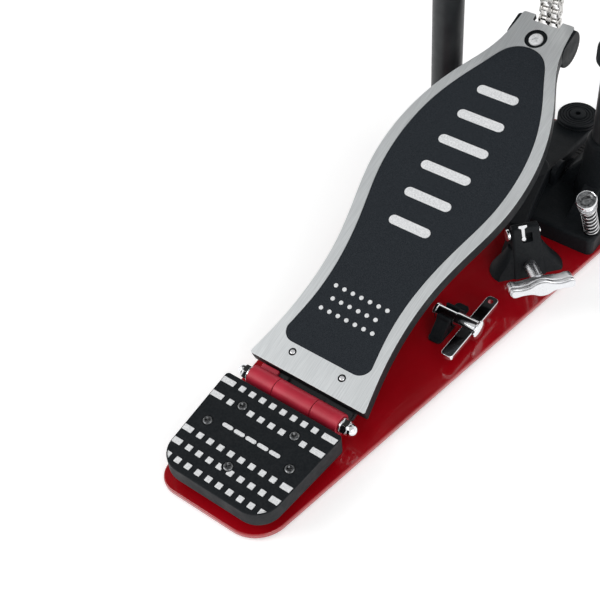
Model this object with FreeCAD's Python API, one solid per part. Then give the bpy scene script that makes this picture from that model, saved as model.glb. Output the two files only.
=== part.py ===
"""Bass drum pedal: a chain-drive single pedal on a flat steel base plate.

Millimetres. X is the player's right, Y runs forward to the drum and Z is up.
The origin is on the floor, under the hinge pin, on the footboard's centre plane.
Each sub-part is written to parts/NODE.step as one node of separate solids.
"""

import FreeCAD
import Part
import math
import os

V = FreeCAD.Vector
X_AXIS = V(1, 0, 0)
Y_AXIS = V(0, 1, 0)
Z_AXIS = V(0, 0, 1)

# ---------------------------------------------------------------- driving dimensions

GAP = 0.3                      # between pieces of two bodies
RUNNING = 0.05                 # radial clearance of a pin that turns

# Base plate and its pad
PAD_TOP = 2.0
BASE_TOP = 5.0
HEEL_END_Y = -74.5
SIDE_X_AT_HINGE = 44.45        # half width of the base plate beside the hinge
SIDE_SLOPE = 0.155             # how fast the half width grows towards the drum
SHOULDER_Y = 262.0
TONGUE_Y = 290.0
LEFT_HEEL_X = 36.3
LEFT_WAIST = (46.0, 92.0)
LEFT_TOE = (75.5, 186.0)
TONGUE_HALF = 46.0
PAD_INSET = 2.5

# Hinge at the heel
HINGE_Z = 18.0
BARREL_R = 6.0
HINGE_PIN_R = 2.5
MIDDLE_KNUCKLE = 12.3
KNUCKLE_END = 29.5

# Heel plate
HEEL_FRONT_Y = -9.6
HEEL_BACK_Y = -71.5
HEEL_FRONT_HALF = 37.8
HEEL_BACK_HALF = 34.0
HEEL_SKIRT_Z = 11.0
HEEL_TOP_Z = 25.0              # top height at the front row of studs
HEEL_TILT = 2.77
STUD_PITCH = 6.75
STUD_ROWS = [-14.5, -24.5, -49.0, -57.8, -66.5]
HEEL_SCREWS = [(-16.9, -22.8), (16.9, -22.8), (-26.6, -39.6), (26.6, -39.6), (0.0, -55.4)]

# Footboard: x across, s along and h above its top face
FOOT_ANGLE = 18.54
FOOT_HEEL = V(0, 8.7, 23.5)
FOOT_LENGTH = 258.1
FOOT_THICK = 9.0
FOOT_SKIN = 4.0
LEAF_THICK = 2.8
FOOT_WALL = 3.5
FOOT_HALF_WIDTHS = [37.7, 33.0, 31.1, 32.6, 37.8, 43.5, 44.8, 41.0, 31.6, 19.9, 16.5]
INSERT_POINTS = [(27.6, 23.0), (24.6, 45.0), (25.6, 77.4), (30.5, 103.2), (36.4, 129.0), (37.9, 154.9),
                 (34.3, 180.7), (24.6, 206.5), (18.2, 219.5), (10.8, 231.4), (0.0, 235.3)]
INSERT_BACK_S = 15.8
INSERT_CORNER = 7.4
INSERT_DEPTH = 1.5
INSERT_PROUD = 0.2
NOTCH_HALF = 8.7
NOTCH_S = 253.6
RIVET_X = 16.2
RIVET_S = 11.1
TOE_SCREW_S = 242.3
TOE_RECESS_R = 6.6
CHEEK_CENTRE = (248.5, -8.5)
CHEEK_R = 11.0
CHEEK_X = 18.6

# Posts, shaft and drive
POST_X = 55.2
POST_Y = 232.1
POST_R = 9.525
POST_BORE_R = 7.5
POST_FOOT_Z = 20.0
POST_TOP_Z = 160.0
CHAIN_PITCH = 6.35
TEETH = 22
RUN_LINKS = 12
WRAPPED_LINKS = 6
FREE_LINKS = 3
TOE_PIN_Z = 98.0
PITCH_R = CHAIN_PITCH / (2 * math.sin(math.pi / TEETH))
SHAFT_Z = TOE_PIN_Z + RUN_LINKS * CHAIN_PITCH
CHAIN_Y = POST_Y + PITCH_R
SHAFT_R = 5.0
HEX_FLATS = 11.0
STRAND_X = 3.2
ROLLER_R = 1.6
CHAIN_PIN_R = 1.1
TOE_PIN_R = 1.6
TOE_PIN_SLACK = 2.3

# Beater
BEATER_LEAN = 42.0
BEATER_X = -20.0
ROD_OFFSET = 10.8
ROD_R = 4.0
ROD_LOW = -25.0
ROD_HIGH = 183.0
HEAD_T = 170.0

# Return spring
ROCKER_X = 72.0
SPRING_X = 80.0
ROCKER_ARM = 20.0
ROCKER_DROP = 24.0             # degrees below level at rest
SPRING_TOP_Z = 157.5
SPRING_LOW_Z = 124.0
BRACKET_Z = 110.0

# Pedestal casting
PED_HALF = 72.7
PED_BACK_Y = 188.0
PED_FRONT_Y = 252.0
PED_TOP = 17.0
TOWERS = {1: (13.0, 46.0), -1: (12.5, 42.0)}         # radius and top of each post's tower
WEB_TOP = 40.0
RIB_X = {1: 55.2, -1: -62.0}

# Spurs
SPUR_FEET = {1: (67.2, 197.5), -1: (-50.0, 203.0)}   # where the axes meet the casting's top
SPUR_TILT = 22.6
SPUR_R = 3.0
SPUR_SPRING_LENGTH = 28.6
SPUR_HEAD_R = 6.0

# Toe clamp
ARM_X = 14.5
CLAMP_FOOT_X = 15.8
CLAMP_FOOT_Y = 275.0
CLAMP_PIVOT_Y = 226.0
CLAMP_PIVOT_Z = 23.0
PIVOT_HALF = 15.0              # half length of the pivot pin, in blind holes
CLAMP_BEND_Y = 217.0
ARM_LOW = 18.0
ARM_TOP = 28.0
BLOCK_AT = V(44.0, 162.2, BASE_TOP)
BLOCK_YAW = 49.0
BLOCK_H = 26.5
BLOCK_HALF = 9.9               # at the base plate
BLOCK_TOP_HALF = 8.1
FACE_Y = -10.8                 # foot of the front face, in the block's frame
FACE_LEAN = 28.0
CAVITY_Y = 0.0                 # front end of the hollow behind the face
CROSS_PIN = (5.7, 20.5)        # its place along and above the base plate, in the block's frame
CROSS_PIN_R = 1.8
CROSS_PIN_HEAD_R = 3.6
WEDGE_LOW = 7.4
WEDGE_TOP = 15.6
WEDGE_SLOPE = 33.2
SCREW_EXIT = V(50.5, 156.7, 11.5)
SCREW_AZIMUTH = -50.0
SCREW_TILT = 25.0
SCREW_ROLL = 7.0
CLAMP_SCREW_R = 3.65
SCREW_INSIDE = 5.0             # length of the shank inside the block's wall
WING_BACK = 21.5               # along the screw from the block's face
WING_FRONT = 36.3
WING_HALF = 18.2
WING_THICK = 5.0

# Drum key and its clip
KEY_Y = 97.4
KEY_Z = 13.0
KEY_R = 4.2


# ---------------------------------------------------------------- helpers

def box(x0, x1, y0, y1, z0, z1):
    return Part.makeBox(x1 - x0, y1 - y0, z1 - z0, V(x0, y0, z0))


def rod(radius, start, end):
    return Part.makeCylinder(radius, (end - start).Length, start, end - start)


def tube(outer, inner, start, end):
    return rod(outer, start, end).cut(rod(inner, start, end))


def cone(r_start, r_end, start, end):
    return Part.makeCone(r_start, r_end, (end - start).Length, start, end - start)


def ball(radius, centre):
    return Part.makeSphere(radius, centre)


def prism(points, direction):
    wire = Part.makePolygon(points + [points[0]])
    return Part.Face(wire).extrude(direction)


def joined(shapes):
    return shapes[0].multiFuse(shapes[1:]).removeSplitter()


def hex_bar(flats, start, end, turn=0.0):
    """A hexagonal bar between two points, flats across."""
    axis = (end - start).normalize()
    side = axis.cross(Z_AXIS)
    if side.Length < 0.01:
        side = X_AXIS
    side.normalize()
    up = axis.cross(side)
    corner_r = flats / math.sqrt(3)
    points = []
    for k in range(6):
        a = math.radians(60 * k + turn)
        points.append(start + side * (corner_r * math.cos(a)) + up * (corner_r * math.sin(a)))
    return prism(points, end - start)


def filleted(shape, radius, wanted):
    edges = [e for e in shape.Edges if wanted(e)]
    return shape.makeFillet(radius, edges)


def upright_at(x, y, tolerance=0.6):
    """A test for the upright edge that stands at (x, y)."""
    def test(edge):
        ends = [v.Point for v in edge.Vertexes]
        if len(ends) < 2:
            return False
        near = [abs(p.x - x) < tolerance and abs(p.y - y) < tolerance for p in ends]
        return all(near) and abs(ends[0].z - ends[1].z) > 0.5
    return test


def level_at(z, tolerance=0.01):
    """A test for edges that lie wholly at height z."""
    def test(edge):
        bounds = edge.BoundBox
        return abs(bounds.ZMin - z) < tolerance and abs(bounds.ZMax - z) < tolerance
    return test


def placed(shape, placement):
    moved = shape.copy()
    moved.Placement = placement.multiply(moved.Placement)
    return moved


def mirrored(shape):
    return shape.mirror(V(0, 0, 0), X_AXIS)


def spline(points):
    curve = Part.BSplineCurve()
    curve.interpolate(points)
    return curve


FOOT_PLACE = FreeCAD.Placement(FOOT_HEEL, FreeCAD.Rotation(X_AXIS, FOOT_ANGLE))
BLOCK_PLACE = FreeCAD.Placement(BLOCK_AT, FreeCAD.Rotation(Z_AXIS, BLOCK_YAW))
SCREW_TURN = FreeCAD.Rotation(Z_AXIS, SCREW_AZIMUTH + 90).multiply(FreeCAD.Rotation(X_AXIS, -SCREW_TILT))
SCREW_PLACE = FreeCAD.Placement(SCREW_EXIT, SCREW_TURN.multiply(FreeCAD.Rotation(Y_AXIS, -SCREW_ROLL)))
HEEL_PLACE = FreeCAD.Placement(V(0, STUD_ROWS[0], HEEL_TOP_Z), FreeCAD.Rotation(X_AXIS, HEEL_TILT))


def save(name, shape):
    solids = shape.Solids
    if not solids:
        raise ValueError("no solid in " + name)
    for solid in solids:
        if not solid.isValid() or solid.Volume <= 0:
            raise ValueError("bad solid in " + name)
    out = solids[0] if len(solids) == 1 else Part.makeCompound(solids)
    out.exportStep(os.path.join("parts", name + ".step"))
    print(name, len(solids), round(sum(s.Volume for s in solids) / 1000.0, 3))


# ---------------------------------------------------------------- base

def side_x(y):
    return SIDE_X_AT_HINGE + SIDE_SLOPE * y


def base_outline(inset, z0, z1):
    """The base plate's plan, drawn in by inset, from z0 to z1, with round corners."""
    back = HEEL_END_Y + inset
    shoulder = SHOULDER_Y - inset
    front = TONGUE_Y - inset
    wide = side_x(shoulder) - inset
    tongue = TONGUE_HALF - inset
    corners = [
        (side_x(back) - inset, back, 20.0 - inset), (wide, shoulder, 18.0 - inset),
        (tongue, shoulder, 8.0 + inset), (tongue, front, 10.0 - inset),
        (-tongue, front, 10.0 - inset), (-tongue, shoulder, 8.0 + inset),
        (-wide, shoulder, 18.0 - inset), (inset - LEFT_TOE[0], LEFT_TOE[1], 20.0 - inset),
        (inset - LEFT_WAIST[0], LEFT_WAIST[1], 60.0), (inset - LEFT_HEEL_X, back, 13.0 - inset),
    ]
    plate = prism([V(x, y, z0) for x, y, radius in corners], V(0, 0, z1 - z0))
    for x, y, radius in corners:
        plate = filleted(plate, radius, upright_at(x, y))
    return plate


def spur_line(side):
    """A point on a spur's axis at the casting's top, and the direction up the axis."""
    tilt = math.radians(SPUR_TILT)
    x, y = SPUR_FEET[side]
    return V(x, y, PED_TOP), V(0, -math.sin(tilt), math.cos(tilt))


def spur_holes(radius):
    holes = []
    for side in (1, -1):
        at, up = spur_line(side)
        holes.append(rod(radius, at - up * 30, at + up * 30))
    return holes


def base_plate():
    plate = base_outline(0.0, PAD_TOP, BASE_TOP)
    plate = filleted(plate, 0.8, level_at(BASE_TOP))
    return plate.cut(spur_holes(SPUR_R + 1.0))


def base_grip_pad():
    return base_outline(PAD_INSET, 0.0, PAD_TOP).cut(spur_holes(SPUR_R + 1.5))


def hoop_pad():
    pad = box(-34, 42, 262, 287, BASE_TOP, BASE_TOP + 1.5)
    for x, y in ((-34, 262), (-34, 287), (42, 262), (42, 287)):
        pad = filleted(pad, 4.0, upright_at(x, y))
    return pad


# ---------------------------------------------------------------- heel plate and hinge

def heel_outline(z0, z1, inset=0.0, corner=14.0):
    front = HEEL_FRONT_Y - inset
    back = HEEL_BACK_Y + inset
    right = [(HEEL_BACK_HALF - inset, back), (HEEL_FRONT_HALF - inset, front)]
    left = [(-x, y) for x, y in reversed(right)]
    body = prism([V(x, y, z0) for x, y in right + left], V(0, 0, z1 - z0))
    for side in (1, -1):
        body = filleted(body, corner - inset, upright_at(side * right[0][0], back))
        body = filleted(body, 2.0, upright_at(side * right[1][0], front))
    return body


def above_heel_top(lift):
    """Everything higher than the heel plate's sloping top by more than lift."""
    return placed(box(-80, 80, -90, 60, lift, lift + 40), HEEL_PLACE)


def heel_plate():
    body = heel_outline(HEEL_SKIRT_Z, 40).cut(above_heel_top(0.0))
    body = filleted(body, 3.0, level_at(HEEL_SKIRT_Z))
    foot = heel_outline(BASE_TOP, HEEL_SKIRT_Z + 2, 6.0)
    body = joined([body, foot])
    cuts = []
    for x, y in HEEL_SCREWS:
        cuts.append(rod(1.5, V(x, y, BASE_TOP), V(x, y, 40)))
        cuts.append(placed(rod(3.0, V(x, y - STUD_ROWS[0], -0.7), V(x, y - STUD_ROWS[0], 5)), HEEL_PLACE))
    return body.cut(cuts)


def heel_grip_studs():
    """Five rows of square studs, with a long stud at each end of four of them."""
    square = 3.3
    studs = []
    for row, y in enumerate(STUD_ROWS):
        v = y - STUD_ROWS[0]
        last = row == len(STUD_ROWS) - 1
        for i in range(-1 if last else 0, 9 if last else 8):
            x = (i - 3.5) * STUD_PITCH
            studs.append(box(x - square / 2, x + square / 2, v - square / 2, v + square / 2, 0, 0.5))
        if not last:
            inner = 4.5 * STUD_PITCH - square / 2
            for side in (1, -1):
                x0, x1 = sorted((side * inner, side * 60))
                studs.append(box(x0, x1, v - square / 2, v + square / 2, 0, 0.5))
    for i in range(5):
        x = (i - 2) * 7.6
        studs.append(pill(x, -22.4, 2.2, 1.1, 0.0, 0.5))
    limit = heel_outline(0, 60, 0.7)
    screws = [placed(rod(3.4, V(x, y - STUD_ROWS[0], -5), V(x, y - STUD_ROWS[0], 5)), HEEL_PLACE)
              for x, y in HEEL_SCREWS]
    kept = []
    for stud in studs:
        shape = placed(stud, HEEL_PLACE).common(limit).cut(screws)
        kept += [s for s in shape.Solids if s.Volume > 0.4]
    return Part.makeCompound(kept)


def cross_head(radius, height, drive):
    """A pan-head screw's head on z = 0 with a cross recess."""
    head = Part.makeCylinder(radius, height)
    head = filleted(head, height * 0.6, level_at(height))
    arm = drive / 2
    slot_a = box(-arm, arm, -0.45, 0.45, height * 0.35, height + 1)
    slot_b = box(-0.45, 0.45, -arm, arm, height * 0.35, height + 1)
    return head.cut([slot_a, slot_b])


def heel_screws():
    screws = []
    for x, y in HEEL_SCREWS:
        head = placed(cross_head(2.7, 1.3, 3.4), FreeCAD.Placement(V(x, y - STUD_ROWS[0], -0.7),
                                                                  FreeCAD.Rotation()))
        head = placed(head, HEEL_PLACE)
        top = HEEL_TOP_Z + (y - STUD_ROWS[0]) * math.tan(math.radians(HEEL_TILT))
        shank = rod(1.5, V(x, y, BASE_TOP), V(x, y, top - 0.5))
        screws.append(joined([head, shank]))
    return Part.makeCompound(screws)


def hinge_rod(radius, x0, x1):
    return rod(radius, V(x0, 0, HINGE_Z), V(x1, 0, HINGE_Z))


def heel_hinge_block():
    half = MIDDLE_KNUCKLE
    knuckle = hinge_rod(BARREL_R, -half, half)
    web = box(-half, half, -4.2, 3.0, BASE_TOP, HINGE_Z)
    flange = box(-27, 27, -9.2, 7.0, BASE_TOP, BASE_TOP + 3.0)
    return joined([knuckle, web, flange]).cut(hinge_rod(HINGE_PIN_R, -50, 50))


def hinge_pin():
    return hinge_rod(HINGE_PIN_R, -34.0, 34.0)


def hinge_nuts():
    nuts = []
    washer = hinge_rod(4.6, KNUCKLE_END + GAP, KNUCKLE_END + 1.3)
    start = KNUCKLE_END + 1.3
    hexagon = hex_bar(7.4, V(start, 0, HINGE_Z), V(start + 3.4, 0, HINGE_Z), 30.0)
    collar = hinge_rod(3.4, start + 3.4, start + 4.6)
    dome = ball(3.4, V(start + 4.6, 0, HINGE_Z))
    nut = joined([washer, hexagon, collar, dome]).cut(hinge_rod(HINGE_PIN_R, 0, 34.0))
    nuts.append(nut)
    nuts.append(mirrored(nut))
    return Part.makeCompound(nuts)


# ---------------------------------------------------------------- footboard

def foot_width_points(inset, start, stop):
    step = FOOT_LENGTH / (len(FOOT_HALF_WIDTHS) - 1)
    points = []
    for i, half in enumerate(FOOT_HALF_WIDTHS):
        s = i * step
        if start - 0.1 <= s <= stop + 0.1:
            points.append(V(half - inset, s, 0))
    return points


def closed_by_mirror(right_edges, end_points, z0, z1):
    """A prism whose right side is right_edges, closed by its mirror image."""
    edges = list(right_edges)
    edges += [e.mirror(V(0, 0, 0), X_AXIS) for e in right_edges]
    for p, q in end_points:
        edges.append(Part.makeLine(p, q))
    wire = Part.Wire(Part.__sortEdges__(edges))
    face = Part.Face(wire)
    face.translate(V(0, 0, z0))
    return face.extrude(V(0, 0, z1 - z0))


def footboard_solid():
    side = spline(foot_width_points(0.0, 0, FOOT_LENGTH)).toShape()
    heel = FOOT_HALF_WIDTHS[0]
    toe = FOOT_HALF_WIDTHS[-1]
    ends = [(V(-heel, 0, 0), V(heel, 0, 0)), (V(toe, FOOT_LENGTH, 0), V(-toe, FOOT_LENGTH, 0))]
    return closed_by_mirror([side], ends, -FOOT_THICK, 0)


def footboard_pocket():
    """The hollow under the top skin, crossed by ribs that stay solid."""
    points = foot_width_points(FOOT_WALL, 25, 233)
    side = spline(points).toShape()
    first = points[0]
    last = points[-1]
    ends = [(V(-first.x, first.y, 0), first), (last, V(-last.x, last.y, 0))]
    pocket = closed_by_mirror([side], ends, -FOOT_THICK - 1, -FOOT_SKIN)
    ribs = [box(x - 1.2, x + 1.2, 20, 240, -FOOT_THICK - 2, -FOOT_SKIN) for x in (-12, 12)]
    ribs += [box(-60, 60, s - 1.2, s + 1.2, -FOOT_THICK - 2, -FOOT_SKIN) for s in (66, 107, 148, 189)]
    return pocket.cut(ribs)


def insert_solid(inset, z0, z1):
    points = [V(x - inset, s, 0) for x, s in INSERT_POINTS[:-2]]
    points.append(V(INSERT_POINTS[-2][0] - inset * 0.7, INSERT_POINTS[-2][1] - inset * 0.7, 0))
    apex = V(0, INSERT_POINTS[-1][1] - inset, 0)
    points.append(apex)
    curve = Part.BSplineCurve()
    curve.interpolate(Points=points, InitialTangent=V(-0.05, 1, 0), FinalTangent=V(-1, 0, 0))
    back = INSERT_BACK_S + inset
    start = points[0]
    corner = INSERT_CORNER - inset
    knee = V(start.x - corner * 0.29, back + corner * 0.29, 0)
    flat_end = V(start.x - corner, back, 0)
    arc = Part.Arc(start, knee, flat_end).toShape()
    ends = [(V(-flat_end.x, back, 0), flat_end)]
    return closed_by_mirror([curve.toShape(), arc], ends, z0, z1)


def toe_pin_on_foot():
    """The chain's toe pin, as (s, h) in the footboard's own frame."""
    angle = math.radians(FOOT_ANGLE)
    y = CHAIN_Y - FOOT_HEEL.y
    z = TOE_PIN_Z - FOOT_HEEL.z
    return y * math.cos(angle) + z * math.sin(angle), z * math.cos(angle) - y * math.sin(angle)


def footboard():
    body = footboard_solid()
    s0, h0 = CHEEK_CENTRE
    for side in (1, -1):
        outer = side * CHEEK_X
        inner = side * NOTCH_HALF
        cheek = rod(CHEEK_R, V(inner, s0, h0), V(outer, s0, h0))
        body = body.fuse(cheek.cut(box(-40, 40, 200, 280, 0, 20)))
    pin_s, pin_h = toe_pin_on_foot()
    pocket_r = TOE_PIN_R + TOE_PIN_SLACK
    half = NOTCH_HALF
    cuts = [
        footboard_pocket(),
        insert_solid(0.0, -INSERT_DEPTH, 5),
        box(-half, half, NOTCH_S, 280, -40, 5),
        box(-half, half, NOTCH_S - 4.5, 280, -40, -FOOT_SKIN + 1.0),
        rod(pocket_r, V(-half - 3.4, pin_s, pin_h), V(half + 3.4, pin_s, pin_h)),
        rod(2.3, V(0, TOE_SCREW_S, -FOOT_THICK - 1), V(0, TOE_SCREW_S, 1)),
        rod(TOE_RECESS_R, V(0, TOE_SCREW_S, -1.2), V(0, TOE_SCREW_S, 1)),
    ]
    for x in (-RIVET_X, RIVET_X):
        cuts.append(rod(1.9, V(x, RIVET_S, -FOOT_THICK), V(x, RIVET_S, 1)))
    body = body.cut(cuts)
    return placed(body.removeSplitter(), FOOT_PLACE)


def footboard_insert():
    insert = insert_solid(0.15, -INSERT_DEPTH, INSERT_PROUD)
    return placed(insert, FOOT_PLACE)


def pill(x, s, half_length, radius, z0, z1):
    """A bar with round ends, along X."""
    bar = box(x - half_length, x + half_length, s - radius, s + radius, z0, z1)
    caps = [rod(radius, V(x + e * half_length, s, z0), V(x + e * half_length, s, z1)) for e in (1, -1)]
    return joined([bar] + caps)


def insert_grip_marks():
    """Plain raised bars up the middle of the insert and rows of dots near the heel."""
    marks = []
    low = INSERT_PROUD
    high = INSERT_PROUD + 0.5
    for k in range(6):
        s = 104 + 19.0 * k
        half = 9.0 + 4.0 * math.sin(math.pi * (k + 0.6) / 6.2)
        marks.append(pill(0, s, half, 2.9, low, high))
    for row in range(3):
        for k in range(7 - row % 2):
            x = (k - (6 - row % 2) / 2) * 5.6
            marks.append(rod(1.25, V(x, 40 + 7.5 * row, low), V(x, 40 + 7.5 * row, high)))
    return placed(Part.makeCompound(marks), FOOT_PLACE)


def footboard_rivets():
    rivets = []
    for x in (-RIVET_X, RIVET_X):
        shank = rod(1.9, V(x, RIVET_S, -FOOT_THICK - LEAF_THICK - 0.4), V(x, RIVET_S, -0.3))
        head = Part.makeCylinder(1.9, 0.6, V(x, RIVET_S, -0.3))
        head = filleted(head, 0.4, level_at(0.3))
        tail = rod(3.0, V(x, RIVET_S, -FOOT_THICK - LEAF_THICK - 1.4), V(x, RIVET_S, -FOOT_THICK - LEAF_THICK))
        rivets.append(joined([shank, head, tail]))
    return placed(Part.makeCompound(rivets), FOOT_PLACE)


def footboard_hinge_leaf():
    angle = math.radians(FOOT_ANGLE)
    y = -FOOT_HEEL.y
    z = HINGE_Z - FOOT_HEEL.z
    axis_s = y * math.cos(angle) + z * math.sin(angle)
    axis_h = z * math.cos(angle) - y * math.sin(angle)
    low = -FOOT_THICK - LEAF_THICK
    leaf = box(-30, 30, 0.5, 21.5, low, -FOOT_THICK)
    leaf = leaf.cut([rod(1.9, V(x, RIVET_S, -20), V(x, RIVET_S, 0)) for x in (-RIVET_X, RIVET_X)])
    pieces = [leaf]
    for side in (1, -1):
        x0, x1 = sorted((side * (MIDDLE_KNUCKLE + GAP), side * KNUCKLE_END))
        pieces.append(rod(BARREL_R, V(x0, axis_s, axis_h), V(x1, axis_s, axis_h)))
        pieces.append(box(x0, x1, axis_s, -0.6, low, -6.8))
        pieces.append(box(x0, x1, axis_s, 1.0, low, -FOOT_THICK))
    bore = rod(HINGE_PIN_R + RUNNING, V(-50, axis_s, axis_h), V(50, axis_s, axis_h))
    return placed(joined(pieces).cut(bore), FOOT_PLACE)


def toe_screw():
    head = placed(cross_head(4.2, 1.6, 4.6), FreeCAD.Placement(V(0, TOE_SCREW_S, -1.2), FreeCAD.Rotation()))
    shank = rod(2.3, V(0, TOE_SCREW_S, -FOOT_THICK - 2), V(0, TOE_SCREW_S, -1.0))
    return placed(joined([head, shank]), FOOT_PLACE)


# ---------------------------------------------------------------- pedestal, posts and shaft

def tower_web(side):
    """A sloping web from a post's tower towards the middle."""
    points = [V(side * 30, POST_Y - 5, PED_TOP - 2), V(side * POST_X, POST_Y - 5, PED_TOP - 2),
              V(side * POST_X, POST_Y - 5, WEB_TOP), V(side * 44, POST_Y - 5, WEB_TOP - 2)]
    return prism(points, V(0, 10, 0))


def back_rib(side):
    x = RIB_X[side]
    points = [V(x - 5, PED_BACK_Y + 5, PED_TOP - 2), V(x - 5, POST_Y, PED_TOP - 2),
              V(x - 5, POST_Y, WEB_TOP - 4)]
    return prism(points, V(10, 0, 0))


def pedestal_casting():
    slab = box(-PED_HALF, PED_HALF, PED_BACK_Y, PED_FRONT_Y, BASE_TOP, PED_TOP)
    for x in (-PED_HALF, PED_HALF):
        slab = filleted(slab, 4.0, upright_at(x, PED_BACK_Y))
        slab = filleted(slab, 12.0, upright_at(x, PED_FRONT_Y))
    slab = filleted(slab, 2.0, level_at(PED_TOP))
    pieces = [slab]
    for side in (1, -1):
        radius, top = TOWERS[side]
        tower = Part.makeCylinder(radius, top - PED_TOP + 2, V(side * POST_X, POST_Y, PED_TOP - 2))
        tower = filleted(tower, 2.5, level_at(top))
        pieces += [tower, tower_web(side), back_rib(side)]
    for x0 in (ARM_X - 16.0, ARM_X + 13.0):
        lug = box(x0, x0 + 3.0, CLAMP_PIVOT_Y - 7, CLAMP_PIVOT_Y + 7, PED_TOP - 2, CLAMP_PIVOT_Z + 6)
        lug = lug.makeFillet(5.0, [e for e in lug.Edges if e.BoundBox.ZMin > CLAMP_PIVOT_Z + 5.9
                                   and e.BoundBox.XLength > 2])
        pieces.append(lug)
    body = joined(pieces)
    cuts = spur_holes(SPUR_R + RUNNING)
    cuts.append(box(ARM_X - 13.0, ARM_X + 13.0, CLAMP_PIVOT_Y - 4, PED_FRONT_Y + 1, PED_TOP - 4, PED_TOP + 1))
    cuts.append(box(ARM_X - 14.0, ARM_X + 16.0, CLAMP_PIVOT_Y + 8, PED_FRONT_Y + 1, PED_TOP - 4, PED_TOP + 1))
    for side in (1, -1):
        at, up = spur_line(side)
        cuts.append(rod(5.8, at, at + up * 10))
        x = side * POST_X
        cuts.append(rod(POST_R, V(x, POST_Y, POST_FOOT_Z), V(x, POST_Y, 80)))
        for z in (27.0, 38.0):
            cuts.append(rod(2.5, V(x, POST_Y + POST_R - 0.5, z), V(x, POST_Y + 40, z)))
    cuts.append(rod(3.0, V(ARM_X - PIVOT_HALF, CLAMP_PIVOT_Y, CLAMP_PIVOT_Z),
                    V(ARM_X + PIVOT_HALF, CLAMP_PIVOT_Y, CLAMP_PIVOT_Z)))
    return body.cut(cuts)


def post(side):
    x = side * POST_X
    return tube(POST_R, POST_BORE_R, V(x, POST_Y, POST_FOOT_Z), V(x, POST_Y, POST_TOP_Z))


def post_set_screws():
    screws = []
    for side in (1, -1):
        x = side * POST_X
        front = POST_Y + TOWERS[side][0]
        for z in (27.0, 38.0):
            screw = rod(2.5, V(x, POST_Y + POST_R, z), V(x, front + 0.8, z))
            socket = hex_bar(2.5, V(x, front - 1.2, z), V(x, front + 3, z))
            screws.append(screw.cut(socket))
        z = SHAFT_Z - 22.0
        screw = rod(2.5, V(x, POST_Y + POST_R, z), V(x, POST_Y + 14.0, z))
        socket = hex_bar(2.5, V(x, POST_Y + 12.0, z), V(x, POST_Y + 20, z))
        screws.append(screw.cut(socket))
    return Part.makeCompound(screws)


def bearing_housing(side):
    x = side * POST_X
    barrel = rod(15.0, V(x - 11, POST_Y, SHAFT_Z), V(x + 11, POST_Y, SHAFT_Z))
    barrel = filleted(barrel, 1.5, lambda e: e.BoundBox.XLength < 0.01 and e.BoundBox.YLength > 20)
    collar = Part.makeCylinder(13.0, 30.0, V(x, POST_Y, SHAFT_Z - 32.0))
    collar = filleted(collar, 1.5, level_at(SHAFT_Z - 32.0))
    body = joined([barrel, collar])
    cuts = [
        rod(11.0, V(x - 20, POST_Y, SHAFT_Z), V(x + 20, POST_Y, SHAFT_Z)),
        rod(POST_R, V(x, POST_Y, 100), V(x, POST_Y, POST_TOP_Z)),
        rod(2.5, V(x, POST_Y + POST_R - 0.5, SHAFT_Z - 22), V(x, POST_Y + 40, SHAFT_Z - 22)),
    ]
    return body.cut(cuts)


def shaft_rod(radius, x0, x1):
    return rod(radius, V(x0, POST_Y, SHAFT_Z), V(x1, POST_Y, SHAFT_Z))


def shaft_bearings():
    """A ball bearing in each housing, as one solid with its seal grooves."""
    bearings = []
    for side in (1, -1):
        x = side * POST_X
        ring = shaft_rod(11.0, x - 9.5, x + 9.5).cut(shaft_rod(SHAFT_R + RUNNING, x - 20, x + 20))
        groove = shaft_rod(9.4, x + 8.9, x + 12).cut(shaft_rod(6.6, x, x + 20))
        other = shaft_rod(9.4, x - 12, x - 8.9).cut(shaft_rod(6.6, x - 20, x))
        bearings.append(ring.cut([groove, other]))
    return Part.makeCompound(bearings)


def hexagon_shaft(x0, x1):
    return hex_bar(HEX_FLATS, V(x0, POST_Y, SHAFT_Z), V(x1, POST_Y, SHAFT_Z), 30.0)


def hex_shaft():
    return joined([shaft_rod(SHAFT_R, -69.0, 83.0), hexagon_shaft(-40.0, 40.0)])


# ---------------------------------------------------------------- sprocket and chain

def around_shaft(angle, radius, x=0.0):
    """A point at radius from the shaft, angle degrees up from straight ahead."""
    a = math.radians(angle)
    return V(x, POST_Y + radius * math.cos(a), SHAFT_Z + radius * math.sin(a))


def tooth_ring(x, thick):
    step = 360.0 / TEETH
    root = PITCH_R - ROLLER_R - 0.35
    ring = shaft_rod(root, x - thick / 2, x + thick / 2)
    teeth = []
    for k in range(TEETH):
        middle = (k + 0.5) * step
        low = math.degrees(1.25 / root)
        high = math.degrees(0.55 / (PITCH_R + 1.9))
        x0 = x - thick / 2
        tip = PITCH_R + 1.9
        points = [around_shaft(middle - low, root - 0.6, x0), around_shaft(middle + low, root - 0.6, x0),
                  around_shaft(middle + high, tip, x0), around_shaft(middle - high, tip, x0)]
        teeth.append(prism(points, V(thick, 0, 0)))
    return ring.multiFuse(teeth)


def sprocket():
    hub = shaft_rod(13.0, -10.0, 10.0)
    hub = filleted(hub, 1.0, lambda e: e.BoundBox.XLength < 0.01)
    body = hub.multiFuse([tooth_ring(-STRAND_X, 2.6), tooth_ring(STRAND_X, 2.6)]).removeSplitter()
    screw_hole = rod(2.0, around_shaft(200, 4, 8.0), around_shaft(200, 30, 8.0))
    return body.cut([hexagon_shaft(-20, 20), screw_hole])


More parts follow.
